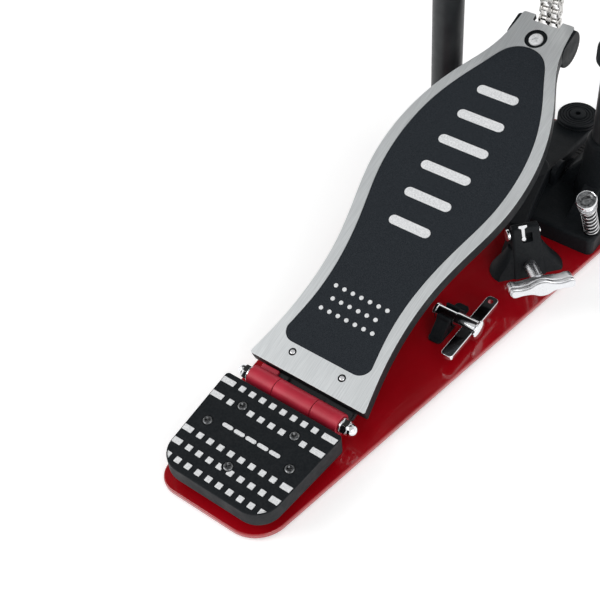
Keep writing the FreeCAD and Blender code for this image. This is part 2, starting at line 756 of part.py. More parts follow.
def link_plate(x, thick, a, b, end_r, hole_r):
    """One stadium-shaped chain plate between pins a and b, centred on x."""
    along = (b - a).normalize()
    across = X_AXIS.cross(along).normalize()
    waist = end_r * 0.72
    shift = V(x - thick / 2, 0, 0)
    depth = V(thick, 0, 0)
    bar = prism([a + shift + across * waist, b + shift + across * waist,
                 b + shift - across * waist, a + shift - across * waist], depth)
    ends = [rod(end_r, p + shift, p + shift + depth) for p in (a, b)]
    holes = [rod(hole_r, p + shift - depth, p + shift + depth * 2) for p in (a, b)]
    return joined([bar] + ends).cut(holes) if hole_r else joined([bar] + ends)


def inner_link(a, b):
    """Two plates and two bushed rollers in each strand."""
    solids = []
    bore = CHAIN_PIN_R + 0.08
    for x in (-STRAND_X, STRAND_X):
        pieces = [link_plate(x + e * 2.0, 0.7, a, b, 2.75, bore) for e in (1, -1)]
        for p in (a, b):
            pieces.append(tube(ROLLER_R, bore, p + V(x - 1.75, 0, 0), p + V(x + 1.75, 0, 0)))
        solids.append(joined(pieces))
    return solids


def outer_link(a, b, pins=(True, True)):
    """Four plates and the pins through both strands, as one riveted solid."""
    pieces = []
    for x in (-STRAND_X - 2.8, -STRAND_X + 2.8, STRAND_X - 2.8, STRAND_X + 2.8):
        pieces.append(link_plate(x, 0.6, a, b, 2.75, 0.0))
    for p, wanted in zip((a, b), pins):
        if wanted:
            pieces.append(rod(CHAIN_PIN_R, p - V(6.8, 0, 0), p + V(6.8, 0, 0)))
    return [joined(pieces)]


def wrap_point(k):
    return around_shaft(k * 360.0 / TEETH, PITCH_R)


def chain_wrapped():
    solids = []
    first = FREE_LINKS
    for k in range(first, first + WRAPPED_LINKS):
        make = inner_link if (k - first) % 2 == 0 else outer_link
        solids += make(wrap_point(k), wrap_point(k + 1))
    return Part.makeCompound(solids)


def chain_free_link(k):
    """Link k of those that leave the sprocket as the pedal goes down; k = 1 is the lowest."""
    make = outer_link if k % 2 == 1 else inner_link
    return Part.makeCompound(make(wrap_point(k), wrap_point(k - 1)))


def chain_run():
    solids = []
    for j in range(RUN_LINKS):
        a = V(0, CHAIN_Y, SHAFT_Z - j * CHAIN_PITCH)
        b = V(0, CHAIN_Y, SHAFT_Z - (j + 1) * CHAIN_PITCH)
        if j % 2 == 0:
            solids += inner_link(a, b)
        elif j == RUN_LINKS - 1:
            last = outer_link(a, b, (True, False))[0]
            solids.append(last.cut(rod(TOE_PIN_R, b - V(20, 0, 0), b + V(20, 0, 0))))
        else:
            solids += outer_link(a, b)
    return Part.makeCompound(solids)


def chain_toe_pin():
    half = NOTCH_HALF + 2.6
    return rod(TOE_PIN_R, V(-half, CHAIN_Y, TOE_PIN_Z), V(half, CHAIN_Y, TOE_PIN_Z))


# ---------------------------------------------------------------- beater

def beater_axes():
    """The rod's direction, the strike direction and a point level with the shaft."""
    a = math.radians(BEATER_LEAN)
    along = V(0, -math.sin(a), math.cos(a))
    strike = V(0, math.cos(a), math.sin(a))
    base = V(BEATER_X, POST_Y, SHAFT_Z) + strike * ROD_OFFSET
    return along, strike, base


def beater_hub():
    along, strike, base = beater_axes()
    drum = shaft_rod(12.5, BEATER_X - 7, BEATER_X + 7)
    boss = rod(8.5, base - along * 12, base + along * 12)
    screw_boss = rod(5.5, base, base + strike * 12)
    body = joined([drum, boss, screw_boss])
    cuts = [
        hexagon_shaft(-60, 20),
        rod(ROD_R + RUNNING, base - along * 30, base + along * 30),
        rod(2.6, base, base + strike * 30),
        rod(2.0, around_shaft(225, 4, BEATER_X), around_shaft(225, 30, BEATER_X)),
    ]
    return body.cut(cuts)


def drive_set_screws():
    """The hub's square-head clamp screw and the grub screws of the hub and sprocket."""
    along, strike, base = beater_axes()
    shank = rod(2.6, base + strike * (ROD_R + 0.4), base + strike * 14)
    flange = rod(4.4, base + strike * 12, base + strike * 13.6)
    corner = base + strike * 13.6
    half = V(2.9, 0, 0)
    square = prism([corner - half - along * 2.9, corner + half - along * 2.9,
                    corner + half + along * 2.9, corner - half + along * 2.9], strike * 8)
    screws = [joined([shank, flange, square])]
    for x, angle, end in ((BEATER_X, 225, 12.6), (8.0, 200, 12.9)):
        screw = rod(2.0, around_shaft(angle, 6.4, x), around_shaft(angle, end, x))
        socket = hex_bar(2.0, around_shaft(angle, end - 1.6, x), around_shaft(angle, end + 3, x))
        screws.append(screw.cut(socket))
    return Part.makeCompound(screws)


def beater_rod():
    along, strike, base = beater_axes()
    stem = rod(ROD_R, base + along * ROD_LOW, base + along * ROD_HIGH)
    stem = filleted(stem, 1.0, lambda e: len(e.Vertexes) == 1 and e.BoundBox.ZMax < SHAFT_Z)
    return stem


def beater_core():
    """The beater's plastic body, bored for the rod, between its two faces."""
    along, strike, base = beater_axes()
    centre = base + along * HEAD_T
    waist = rod(12.5, centre - strike * 12, centre + strike * 12)
    front = rod(19.0, centre + strike * 8, centre + strike * 12)
    back = rod(17.0, centre - strike * 12, centre - strike * 8)
    boss = rod(7.5, centre - along * 16, centre)
    bore = rod(ROD_R + RUNNING, centre - along * 40, centre + along * 40)
    return joined([waist, front, back, boss]).cut(bore)


def rounded_disc(radius, start, end, edge):
    disc = rod(radius, start, end)
    far = end
    return filleted(disc, edge, lambda e: len(e.Vertexes) == 1 and (e.CenterOfMass - far).Length < 0.5)


def beater_felt():
    along, strike, base = beater_axes()
    centre = base + along * HEAD_T
    return rounded_disc(24.0, centre + strike * 12, centre + strike * 27, 7.0)


def beater_face():
    along, strike, base = beater_axes()
    centre = base + along * HEAD_T
    return rounded_disc(22.0, centre - strike * 12, centre - strike * 24, 5.0)


def beater_nut():
    """The lock collar that holds the head on the rod."""
    along, strike, base = beater_axes()
    start = base + along * (HEAD_T - 16 - GAP - 7)
    collar = tube(7.0, ROD_R, start, start + along * 7)
    return collar


# ---------------------------------------------------------------- return spring

def rocker_pin_at(x=0.0):
    return around_shaft(180 + ROCKER_DROP, ROCKER_ARM, x)


def spring_rocker():
    hub = shaft_rod(10.0, ROCKER_X - 4.5, ROCKER_X + 4.5)
    hub = filleted(hub, 1.0, lambda e: e.BoundBox.XLength < 0.01)
    end = rod(5.5, rocker_pin_at(ROCKER_X - 3), rocker_pin_at(ROCKER_X + 3))
    low = around_shaft(90 + ROCKER_DROP, 6.5, ROCKER_X - 3)
    web = prism([low, around_shaft(270 + ROCKER_DROP, 6.5, ROCKER_X - 3),
                 rocker_pin_at(ROCKER_X - 3) + (around_shaft(270 + ROCKER_DROP, 4.6) - around_shaft(0, 0)),
                 rocker_pin_at(ROCKER_X - 3) + (around_shaft(90 + ROCKER_DROP, 4.6) - around_shaft(0, 0))],
                V(6, 0, 0))
    body = joined([hub, end, web])
    return body.cut([shaft_rod(SHAFT_R, 40, 100), rod(2.2, rocker_pin_at(40), rocker_pin_at(100))])


def rocker_pin():
    stem = rod(2.2, rocker_pin_at(ROCKER_X - 3), rocker_pin_at(SPRING_X + 3.5))
    head = rod(3.6, rocker_pin_at(SPRING_X + 2.2), rocker_pin_at(SPRING_X + 3.5))
    return joined([stem, head])


def spring_top_hook():
    """A flat stirrup over the rocker's pin, with a stem down into the spring's top turns."""
    pin = rocker_pin_at(SPRING_X)
    top = pin.z + 2.2 + GAP
    y = pin.y
    outer = box(SPRING_X - 1.2, SPRING_X + 1.2, y - 7.6, y + 7.6, top - 8.6, top + 2.4)
    inner = box(SPRING_X - 5, SPRING_X + 5, y - 5.2, y + 5.2, top - 6.2, top)
    outer = outer.makeFillet(2.0, [e for e in outer.Edges if e.BoundBox.XLength > 2])
    stem = rod(2.6, V(SPRING_X, y, SPRING_TOP_Z - 4), V(SPRING_X, y, top - 6.4))
    plug = rod(5.0, V(SPRING_X, y, SPRING_TOP_Z - 6), V(SPRING_X, y, SPRING_TOP_Z - 1))
    return joined([outer.cut(inner), stem, plug])


def return_spring():
    y = rocker_pin_at().y
    return tube(7.2, 5.3, V(SPRING_X, y, SPRING_LOW_Z), V(SPRING_X, y, SPRING_TOP_Z))


def spring_bracket():
    """A split collar on the right post, with an arm out to the spring's foot."""
    y = rocker_pin_at().y
    collar = Part.makeCylinder(13.5, 9.0, V(POST_X, POST_Y, BRACKET_Z))
    collar = filleted(collar, 1.0, lambda e: e.BoundBox.ZLength < 0.01 and e.BoundBox.XLength > 20)
    pad = Part.makeCylinder(7.5, 7.0, V(SPRING_X, y, BRACKET_Z + 1))
    arm = prism([V(POST_X + 4, POST_Y - 12, BRACKET_Z + 1), V(POST_X + 12, POST_Y - 2, BRACKET_Z + 1),
                 V(SPRING_X + 4, y + 5, BRACKET_Z + 1), V(SPRING_X - 3, y - 6, BRACKET_Z + 1)], V(0, 0, 7))
    body = joined([collar, pad, arm])
    return body.cut([rod(POST_R, V(POST_X, POST_Y, 50), V(POST_X, POST_Y, 150)),
                     rod(2.5, V(SPRING_X, y, 50), V(SPRING_X, y, 150))])


def spring_tension_rod():
    y = rocker_pin_at().y
    stem = rod(2.5, V(SPRING_X, y, BRACKET_Z - 14), V(SPRING_X, y, SPRING_LOW_Z - 3))
    plug = rod(5.0, V(SPRING_X, y, SPRING_LOW_Z + 1), V(SPRING_X, y, SPRING_LOW_Z + 6))
    flange = rod(6.6, V(SPRING_X, y, SPRING_LOW_Z - 4), V(SPRING_X, y, SPRING_LOW_Z))
    neck = rod(4.0, V(SPRING_X, y, SPRING_LOW_Z - 1), V(SPRING_X, y, SPRING_LOW_Z + 2))
    return joined([stem, flange, neck, plug])


def spring_tension_nut():
    """A fluted thumb nut under the bracket."""
    y = rocker_pin_at().y
    top = BRACKET_Z + 1 - GAP
    nut = rod(7.5, V(SPRING_X, y, top - 8), V(SPRING_X, y, top))
    cuts = [rod(2.5 + RUNNING, V(SPRING_X, y, 60), V(SPRING_X, y, 150))]
    for k in range(10):
        a = math.radians(36 * k)
        x1 = SPRING_X + 8.4 * math.cos(a)
        y1 = y + 8.4 * math.sin(a)
        cuts.append(rod(1.6, V(x1, y1, top - 20), V(x1, y1, top + 5)))
    return nut.cut(cuts)


# ---------------------------------------------------------------- toe clamp

def slab_between(p, q, half_p, half_q, z0, z1):
    """A flat bar between two plan points, tapering, with round ends."""
    a = V(p[0], p[1], z0)
    b = V(q[0], q[1], z0)
    side = (b - a).cross(Z_AXIS).normalize()
    tall = z1 - z0
    bar = prism([a + side * half_p, b + side * half_q, b - side * half_q, a - side * half_p], V(0, 0, tall))
    return [bar, Part.makeCylinder(half_p, tall, a), Part.makeCylinder(half_q, tall, b)]


def block_point(x, y, z=0.0):
    return BLOCK_PLACE.multVec(V(x, y, z))


def face_y(z):
    """How far the leaning front face is back at a height above the base plate."""
    return FACE_Y + z * math.tan(math.radians(FACE_LEAN))


def block_profile(front_shift, back_low, back_high):
    """The block's side outline, drawn across its whole width and beyond."""
    shoulder = BLOCK_H - 1.2
    points = [V(-40, face_y(0) + front_shift, 0), V(-40, face_y(shoulder) + front_shift, shoulder),
              V(-40, face_y(shoulder) + front_shift + 1.6, BLOCK_H), V(-40, back_high - 1.5, BLOCK_H),
              V(-40, back_high, shoulder), V(-40, back_low, 0)]
    return prism(points, V(80, 0, 0))


def clamp_block():
    """A ridged housing on the base plate that holds the wedge, the screw and the arm's tail."""
    across = prism([V(-BLOCK_HALF, -40, 0), V(BLOCK_HALF, -40, 0), V(BLOCK_TOP_HALF, -40, BLOCK_H),
                    V(-BLOCK_TOP_HALF, -40, BLOCK_H)], V(0, 80, 0))
    ridge = across.common(block_profile(0.0, 14.0, 8.0))
    skirts = []
    for side in (1, -1):
        skirt = cone(12.5, 3.0, V(side * 9.3, 1.8, 0), V(side * 7.5, 1.8, 16.0))
        skirts.append(skirt.common(block_profile(0.8, 40.0, 30.0)))
    body = joined([ridge] + skirts)
    low = WEDGE_LOW - 0.4
    top = WEDGE_TOP + 1.0
    window_back = 3.6
    slot_front = 7.8
    pin_y, pin_z = CROSS_PIN
    cuts = [
        box(-4.2, 4.2, slot_front, 40, WEDGE_TOP - 3.0, BLOCK_H + 5),
        box(-4.2, 3.6, -5.0, window_back, 19.9, BLOCK_H + 5),
        box(-5.2, 5.2, CAVITY_Y, 40, low, top),
        rod(CROSS_PIN_R, V(-30, pin_y, pin_z), V(30, pin_y, pin_z)),
        rod(CROSS_PIN_HEAD_R + GAP, V(-30, pin_y, pin_z), V(-8.9, pin_y, pin_z)),
    ]
    bore = rod(CLAMP_SCREW_R + RUNNING, V(0, SCREW_INSIDE, 0), V(0, -30, 0))
    body = placed(body.cut(cuts).removeSplitter(), BLOCK_PLACE)
    return body.cut(placed(bore, SCREW_PLACE))


def clamp_cross_pin():
    """A pin across the block's slot with a round head on its left."""
    y, z = CROSS_PIN
    pin = rod(CROSS_PIN_R, V(-9.0, y, z), V(9.6, y, z))
    head = rod(CROSS_PIN_HEAD_R, V(-10.6, y, z), V(-8.9, y, z))
    return placed(joined([pin, head]), BLOCK_PLACE)


def slope_outline(x, end, lift):
    """The wedge's top line, level and then sloping down to end, raised by lift."""
    rise = math.tan(math.radians(WEDGE_SLOPE))
    flat = CAVITY_Y + 1.3
    return [V(x, CAVITY_Y - 20, WEDGE_TOP + lift), V(x, flat, WEDGE_TOP + lift),
            V(x, end, WEDGE_TOP + lift - (end - flat) * rise)]


def clamp_wedge():
    """The sliding wedge that lifts the arm's tail."""
    front = CAVITY_Y + 0.5
    back = CAVITY_Y + 10.5
    top = slope_outline(-4.9, back, 0.0)
    outline = [V(-4.9, front, WEDGE_LOW), V(-4.9, front, WEDGE_TOP)] + top[1:] + [V(-4.9, back, WEDGE_LOW)]
    return placed(prism(outline, V(9.8, 0, 0)), BLOCK_PLACE)


def clamp_wing_screw():
    """A wing screw: shank, hub and two flat wings in one plane with the axis."""
    shank = rod(CLAMP_SCREW_R, V(0, SCREW_INSIDE - GAP, 0), V(0, -WING_BACK - 2, 0))
    hub = rod(4.2, V(0, -WING_BACK + 1.5, 0), V(0, -WING_FRONT + 2.5, 0))
    pieces = [shank, hub]
    edge = WING_HALF
    for side in (1, -1):
        outline = [(0, WING_BACK + 1), (edge - 11, WING_BACK + 1), (edge - 5, WING_BACK),
                   (edge - 1.7, WING_BACK + 0.8), (edge, WING_BACK + 4), (edge, WING_FRONT - 4),
                   (edge - 1.7, WING_FRONT - 0.8), (edge - 5, WING_FRONT), (edge - 11, WING_FRONT - 1.3),
                   (0, WING_FRONT - 1.8)]
        points = [V(side * x, -along, -WING_THICK / 2) for x, along in outline]
        pieces.append(prism(points, V(0, 0, WING_THICK)))
    return placed(joined(pieces), SCREW_PLACE)


def clamp_arm():
    """The lever over the casting: a round front end, the pivot, and a tail into the block."""
    entry = block_point(0, 19.0)
    tip = block_point(0, 12.1)
    foot_at = V(CLAMP_FOOT_X, CLAMP_FOOT_Y, 0)
    front = slab_between((CLAMP_FOOT_X, CLAMP_FOOT_Y), (ARM_X, CLAMP_BEND_Y), 12.6, 12.2, ARM_LOW, ARM_TOP)
    middle = slab_between((ARM_X, CLAMP_BEND_Y), (entry.x, entry.y), 12.2, 6.5, ARM_LOW, ARM_TOP)
    tail = slab_between((entry.x, entry.y), (tip.x, tip.y), 3.8, 3.8, ARM_LOW - 3.5, ARM_TOP - 5.0)
    body = joined(front + middle + tail)
    clear = prism(slope_outline(-6, CAVITY_Y + 16.0, GAP) + [V(-6, CAVITY_Y + 16.0, -20), V(-6, -20, -20)],
                  V(12, 0, 0))
    cup = rod(9.0, foot_at + Z_AXIS * (ARM_LOW - 1), foot_at + Z_AXIS * (ARM_LOW + 3))
    hole = rod(2.1, foot_at, foot_at + Z_AXIS * 40)
    recess = rod(4.4, foot_at + Z_AXIS * (ARM_TOP - 2.2), foot_at + Z_AXIS * 40)
    pivot = rod(3.0 + RUNNING, V(-30, CLAMP_PIVOT_Y, CLAMP_PIVOT_Z), V(60, CLAMP_PIVOT_Y, CLAMP_PIVOT_Z))
    return body.cut([placed(clear, BLOCK_PLACE), cup, hole, recess, pivot])


def clamp_pivot_pin():
    z = CLAMP_PIVOT_Z
    return rod(3.0, V(ARM_X - PIVOT_HALF, CLAMP_PIVOT_Y, z), V(ARM_X + PIVOT_HALF, CLAMP_PIVOT_Y, z))


def clamp_foot():
    """The rubber foot that presses on the hoop."""
    x = CLAMP_FOOT_X
    pad = rod(11.5, V(x, CLAMP_FOOT_Y, ARM_LOW - 1.5), V(x, CLAMP_FOOT_Y, ARM_LOW))
    pad = filleted(pad, 0.7, level_at(ARM_LOW - 1.5))
    stem = rod(9.0, V(x, CLAMP_FOOT_Y, ARM_LOW - 0.5), V(x, CLAMP_FOOT_Y, ARM_LOW + 3))
    return joined([pad, stem]).cut(rod(2.1, V(x, CLAMP_FOOT_Y, ARM_LOW), V(x, CLAMP_FOOT_Y, 40)))


def clamp_foot_screw():
    x = CLAMP_FOOT_X
    shank = rod(2.1, V(x, CLAMP_FOOT_Y, ARM_LOW), V(x, CLAMP_FOOT_Y, ARM_TOP - 1))
    head = rod(4.0, V(x, CLAMP_FOOT_Y, ARM_TOP - 2.2), V(x, CLAMP_FOOT_Y, ARM_TOP - 0.6))
    socket = hex_bar(3.0, V(x, CLAMP_FOOT_Y, ARM_TOP - 2.0), V(x, CLAMP_FOOT_Y, ARM_TOP + 5))
    return joined([shank, head]).cut(socket)


# ---------------------------------------------------------------- spurs

def spur(side):
    """A pointed screw through the casting with a knurled head."""
    at, up = spur_line(side)
    head_low = SPUR_SPRING_LENGTH + 1.4
    shank = rod(SPUR_R, at - up * 12.0, at + up * (head_low + 1))
    point = cone(0.4, SPUR_R, at - up * 16.2, at - up * 12.0)
    collar = rod(5.0, at + up * head_low, at + up * (head_low + 2.0))
    head = rod(SPUR_HEAD_R, at + up * (head_low + 2.0), at + up * (head_low + 7.5))
    head = filleted(head, 1.0, lambda e: len(e.Vertexes) == 1)
    flutes = []
    for k in range(18):
        turn = FreeCAD.Rotation(up, 20.0 * k)
        offset = turn.multVec(X_AXIS * (SPUR_HEAD_R + 0.5))
        flutes.append(rod(0.9, at + up * head_low + offset, at + up * (head_low + 10) + offset))
    return joined([shank, point, collar, head.cut(flutes)])


def spur_washer(side):
    at, up = spur_line(side)
    low = SPUR_SPRING_LENGTH + GAP
    return tube(5.4, SPUR_R + RUNNING, at + up * low, at + up * (low + 0.8))


def spur_spring(side):
    at, up = spur_line(side)
    return tube(4.7, 3.3, at, at + up * SPUR_SPRING_LENGTH)


# ---------------------------------------------------------------- drum key

def key_clip():
    """A sprung U on the base plate that the key's barrel drops into."""
    x0 = 28.0
    x1 = 36.5
    inner = KEY_R + 0.35
    wall = 1.4
    strip = box(x0, x1, KEY_Y - 15.5, KEY_Y + 17, BASE_TOP, BASE_TOP + 1.6)
    strip = strip.makeFillet(2.5, [e for e in strip.Edges if e.BoundBox.ZLength > 1])
    block = box(x0, x1, KEY_Y - inner - wall, KEY_Y + inner + wall, BASE_TOP + 1.0, KEY_Z + 3.4)
    ears = []
    for side in (1, -1):
        beside = KEY_Y + side * (inner + wall)
        ear = [V(x0, beside, BASE_TOP + 1), V(x0, beside, KEY_Z + 2.4),
               V(x0, KEY_Y + side * 13.5, BASE_TOP + 1)]
        ears.append(prism(ear, V(x1 - x0, 0, 0)))
    body = joined([strip, block] + ears)
    cradle = rod(inner, V(0, KEY_Y, KEY_Z), V(60, KEY_Y, KEY_Z))
    mouth = box(0, 60, KEY_Y - inner, KEY_Y + inner, KEY_Z, KEY_Z + 20)
    return body.cut([cradle, mouth])


def drum_key():
    """A T-handled key: square-socket barrel along X and a flat cross handle along Y."""
    barrel = rod(KEY_R, V(24.4, KEY_Y, KEY_Z), V(51.0, KEY_Y, KEY_Z))
    rims = [rod(KEY_R + 0.2, V(x, KEY_Y, KEY_Z), V(x + w, KEY_Y, KEY_Z)) for x, w in ((23.8, 2.2), (37.6, 0.9))]
    disc = rod(5.6, V(51.0, KEY_Y, KEY_Z), V(53.4, KEY_Y, KEY_Z))
    handle = box(43.4, 50.6, KEY_Y - 26.5, KEY_Y + 24.5, KEY_Z - 1.6, KEY_Z + 1.6)
    handle = handle.makeFillet(2.4, [e for e in handle.Edges if e.BoundBox.ZLength > 3])
    socket = box(20, 33, KEY_Y - 2.3, KEY_Y + 2.3, KEY_Z - 2.3, KEY_Z + 2.3)
    eye = rod(1.6, V(47, KEY_Y + 20.5, 0), V(47, KEY_Y + 20.5, 30))
    return joined([barrel, disc, handle] + rims).cut([socket, eye])


# ---------------------------------------------------------------- all nodes

def main():
    os.makedirs("parts", exist_ok=True)
    nodes = {
        "base_plate": base_plate,
        "base_grip_pad": base_grip_pad,
        "hoop_pad": hoop_pad,
        "heel_plate": heel_plate,
        "heel_grip_studs": heel_grip_studs,
        "heel_screws": heel_screws,
        "heel_hinge_block": heel_hinge_block,
        "hinge_pin": hinge_pin,
        "hinge_nuts": hinge_nuts,
        "footboard": footboard,
        "footboard_insert": footboard_insert,
        "insert_grip_marks": insert_grip_marks,
        "footboard_rivets": footboard_rivets,
        "footboard_hinge_leaf": footboard_hinge_leaf,
        "toe_screw": toe_screw,
        "pedestal_casting": pedestal_casting,
        "post_set_screws": post_set_screws,
        "shaft_bearings": shaft_bearings,
        "hex_shaft": hex_shaft,
        "sprocket": sprocket,
        "chain_wrapped": chain_wrapped,
        "chain_run": chain_run,
        "chain_toe_pin": chain_toe_pin,
        "beater_hub": beater_hub,
        "drive_set_screws": drive_set_screws,
        "beater_rod": beater_rod,
        "beater_core": beater_core,
        "beater_felt": beater_felt,
        "beater_face": beater_face,
        "beater_nut": beater_nut,
        "spring_rocker": spring_rocker,
        "rocker_pin": rocker_pin,
        "spring_top_hook": spring_top_hook,
        "return_spring": return_spring,
        "spring_bracket": spring_bracket,
        "spring_tension_rod": spring_tension_rod,
        "spring_tension_nut": spring_tension_nut,
        "clamp_block": clamp_block,
        "clamp_cross_pin": clamp_cross_pin,
        "clamp_wedge": clamp_wedge,
        "clamp_wing_screw": clamp_wing_screw,
        "clamp_arm": clamp_arm,
        "clamp_pivot_pin": clamp_pivot_pin,
        "clamp_foot": clamp_foot,
        "clamp_foot_screw": clamp_foot_screw,
        "key_clip": key_clip,
        "drum_key": drum_key,
    }
    for name, make in nodes.items():
        save(name, make())
    for k in range(1, FREE_LINKS + 1):
        save("chain_link_%d" % k, chain_free_link(k))
    for word, side in (("left", -1), ("right", 1)):
        save(word + "_post", post(side))
        save(word + "_bearing_housing", bearing_housing(side))
        save(word + "_spur", spur(side))
        save(word + "_spur_washer", spur_washer(side))
        save(word + "_spur_spring", spur_spring(side))


main()
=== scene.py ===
"""Looks of a chain-drive bass drum pedal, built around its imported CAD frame.

Shapes are drawn in millimetres and scaled to metres when a piece is made.
X is the player's right, Y runs forward to the drum and Z is up, from under the hinge pin.
"""

import math

import bmesh
import bpy
import numpy as np
from mathutils import Matrix, Vector


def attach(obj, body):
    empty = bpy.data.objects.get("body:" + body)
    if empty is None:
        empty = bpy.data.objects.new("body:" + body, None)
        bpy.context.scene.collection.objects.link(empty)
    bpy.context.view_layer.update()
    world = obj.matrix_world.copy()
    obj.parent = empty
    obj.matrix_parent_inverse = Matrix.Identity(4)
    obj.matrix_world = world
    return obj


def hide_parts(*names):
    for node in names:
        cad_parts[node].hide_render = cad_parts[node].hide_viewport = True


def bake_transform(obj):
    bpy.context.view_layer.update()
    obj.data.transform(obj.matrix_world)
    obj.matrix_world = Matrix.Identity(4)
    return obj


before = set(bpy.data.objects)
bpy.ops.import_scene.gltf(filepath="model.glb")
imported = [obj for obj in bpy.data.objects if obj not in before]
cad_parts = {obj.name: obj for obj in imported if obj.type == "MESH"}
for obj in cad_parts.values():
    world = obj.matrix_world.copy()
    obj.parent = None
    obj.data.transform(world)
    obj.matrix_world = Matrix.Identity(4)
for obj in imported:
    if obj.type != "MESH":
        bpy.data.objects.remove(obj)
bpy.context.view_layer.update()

X = Vector((1, 0, 0))
Y = Vector((0, 1, 0))
Z = Vector((0, 0, 1))
SIDES = {"left": -1, "right": 1}

# ---------------------------------------------------------------- driving dimensions, in mm

# clearance between neighbouring parts
GAP = 0.3

# base plate and its rubber pad
PAD_TOP = 2.0
BASE_TOP = 5.0
HEEL_END_Y = -74.5
SIDE_X_AT_HINGE = 44.45
SIDE_SLOPE = 0.155
SHOULDER_Y = 262.0
TONGUE_Y = 290.0
TONGUE_HALF = 46.0
LEFT_HEEL_X = 36.3
LEFT_WAIST = (46.0, 92.0)
LEFT_TOE = (75.5, 186.0)
PAD_INSET = 2.5

# heel hinge
HINGE_Z = 18.0
BARREL_R = 6.0
HINGE_PIN_R = 2.5
MIDDLE_KNUCKLE = 12.3
KNUCKLE_END = 29.5

# heel plate
HEEL_FRONT_Y = -9.6
HEEL_BACK_Y = -71.5
HEEL_FRONT_HALF = 37.8
HEEL_BACK_HALF = 34.0
HEEL_CORNER_R = 14.0
HEEL_SKIRT_Z = 11.0
HEEL_TOP_Z = 25.0
HEEL_TILT = 2.77
HEEL_SCREW_DEPTH = 0.7
HEEL_RECESS_R = 3.0
STUD_PITCH = 6.75
STUD_HALF = 1.65
STUD_ROWS = [-14.5, -24.5, -49.0, -57.8, -66.5]
HEEL_SCREWS = [(-16.9, -22.8), (16.9, -22.8), (-26.6, -39.6), (26.6, -39.6), (0.0, -55.4)]

# footboard, in its own frame: s runs up the board from its heel edge, h is square to its face
FOOT_ANGLE = 18.54
FOOT_HEEL = Vector((0, 8.7, 23.5))
FOOT_LENGTH = 258.1
FOOT_THICK = 9.0
FOOT_SKIN = 4.0
LEAF_THICK = 2.8
FOOT_WALL = 3.5
RIM_THICK = 0.3
FOOT_HALF_WIDTHS = [37.7, 33.0, 31.1, 32.6, 37.8, 43.5, 44.8, 41.0, 31.6, 19.9, 16.5]
INSERT_POINTS = [(27.6, 23.0), (24.6, 45.0), (25.6, 77.4), (30.5, 103.2), (36.4, 129.0), (37.9, 154.9),
                 (34.3, 180.7), (24.6, 206.5), (18.2, 219.5), (10.8, 231.4), (0.0, 235.3)]
INSERT_BACK_S = 15.8
INSERT_CORNER = 7.4
INSERT_DEPTH = 1.5
INSERT_PROUD = 0.2
NOTCH_HALF = 8.7
NOTCH_S = 253.6
RIVET_X = 16.2
RIVET_S = 11.1
RIVET_R = 1.5
RIVET_RECESS_R = 2.2
TOE_SCREW_S = 242.3
TOE_SCREW_H = -1.2
TOE_RECESS_R = 6.6
CHEEK_S = 248.5
CHEEK_H = -8.5
CHEEK_R = 11.0
CHEEK_X = 18.6

# posts, shaft, sprocket and chain
POST_X = 55.2
POST_Y = 232.1
POST_R = 9.525
POST_BORE_R = 7.5
POST_FOOT_Z = 20.0
POST_TOP_Z = 160.0
SET_SCREW_R = 2.5
POST_SCREW_Z = (27.0, 38.0)
CHAIN_PITCH = 6.35
TEETH = 22
RUN_LINKS = 12
WRAPPED_LINKS = 6
FREE_LINKS = 3
TOE_PIN_Z = 98.0
PITCH_R = CHAIN_PITCH / (2 * math.sin(math.pi / TEETH))
SHAFT_Z = TOE_PIN_Z + RUN_LINKS * CHAIN_PITCH
CHAIN_Y = POST_Y + PITCH_R
SHAFT_R = 5.0
HEX_FLATS = 11.0
STRAND_X = 3.2
ROLLER_R = 1.6
CHAIN_PIN_R = 1.1
TOE_PIN_R = 1.6
TOE_PIN_SLACK = 2.3

# beater
BEATER_LEAN = 42.0
BEATER_X = -20.0
ROD_OFFSET = 10.8
ROD_R = 4.0
ROD_BORE_R = 4.1
ROD_LOW = -25.0
ROD_HIGH = 183.0
HEAD_T = 170.0
GRUB_R = 2.0
HUB_GRUB_ANGLE = 225
SPROCKET_GRUB_ANGLE = 200
SPROCKET_GRUB_X = 8.0

# return spring
ROCKER_X = 72.0
SPRING_X = 80.0
ROCKER_ARM = 20.0
ROCKER_DROP = 24.0
ROCKER_PIN_R = 2.2
SPRING_TOP_Z = 157.5
SPRING_LOW_Z = 124.0
BRACKET_Z = 110.0
TENSION_R = 2.5

# pedestal; a tower is (radius, top z) on each side
PED_HALF = 72.7
PED_BACK_Y = 188.0
PED_FRONT_Y = 252.0
PED_TOP = 17.0
TOWERS = {1: (12.2, 57.0), -1: (12.2, 42.0)}
WEB_TOP = 40.0
RIB_X = {1: 55.2, -1: -62.0}

# spurs
SPUR_FEET = {1: (67.2, 197.5), -1: (-50.0, 203.0)}
SPUR_TILT = 22.6
SPUR_R = 3.0
SPUR_SPRING = 28.6
SPUR_HEAD_LOW = SPUR_SPRING + 1.4

# toe clamp: arm, block, wedge and wing screw
ARM_X = 14.5
CLAMP_FOOT_X = 15.8
CLAMP_FOOT_Y = 275.0
CLAMP_PIVOT_Y = 226.0
CLAMP_PIVOT_Z = 23.0
PIVOT_HALF = 15.0
PIVOT_BORE_R = 3.0
CLAMP_BEND_Y = 217.0
ARM_LOW = 18.0
ARM_TOP = 28.0
BLOCK_AT = Vector((44.0, 162.2, BASE_TOP))
BLOCK_YAW = 49.0
BLOCK_H = 26.5
BLOCK_HALF = 9.9
BLOCK_TOP_HALF = 8.1
BLOCK_REAR_Y = 14.0
CLIP_Z = 21.6
FACE_Y = -10.8
FACE_LEAN = 28.0
CROSS_PIN = (5.7, 20.5)
CROSS_PIN_R = 1.8
CROSS_PIN_HEAD_R = 3.6
WEDGE_LOW = 7.4
WEDGE_TOP = 15.6
WEDGE_SLOPE = 33.2
SCREW_EXIT = Vector((50.5, 156.7, 11.5))
SCREW_AZIMUTH = -50.0
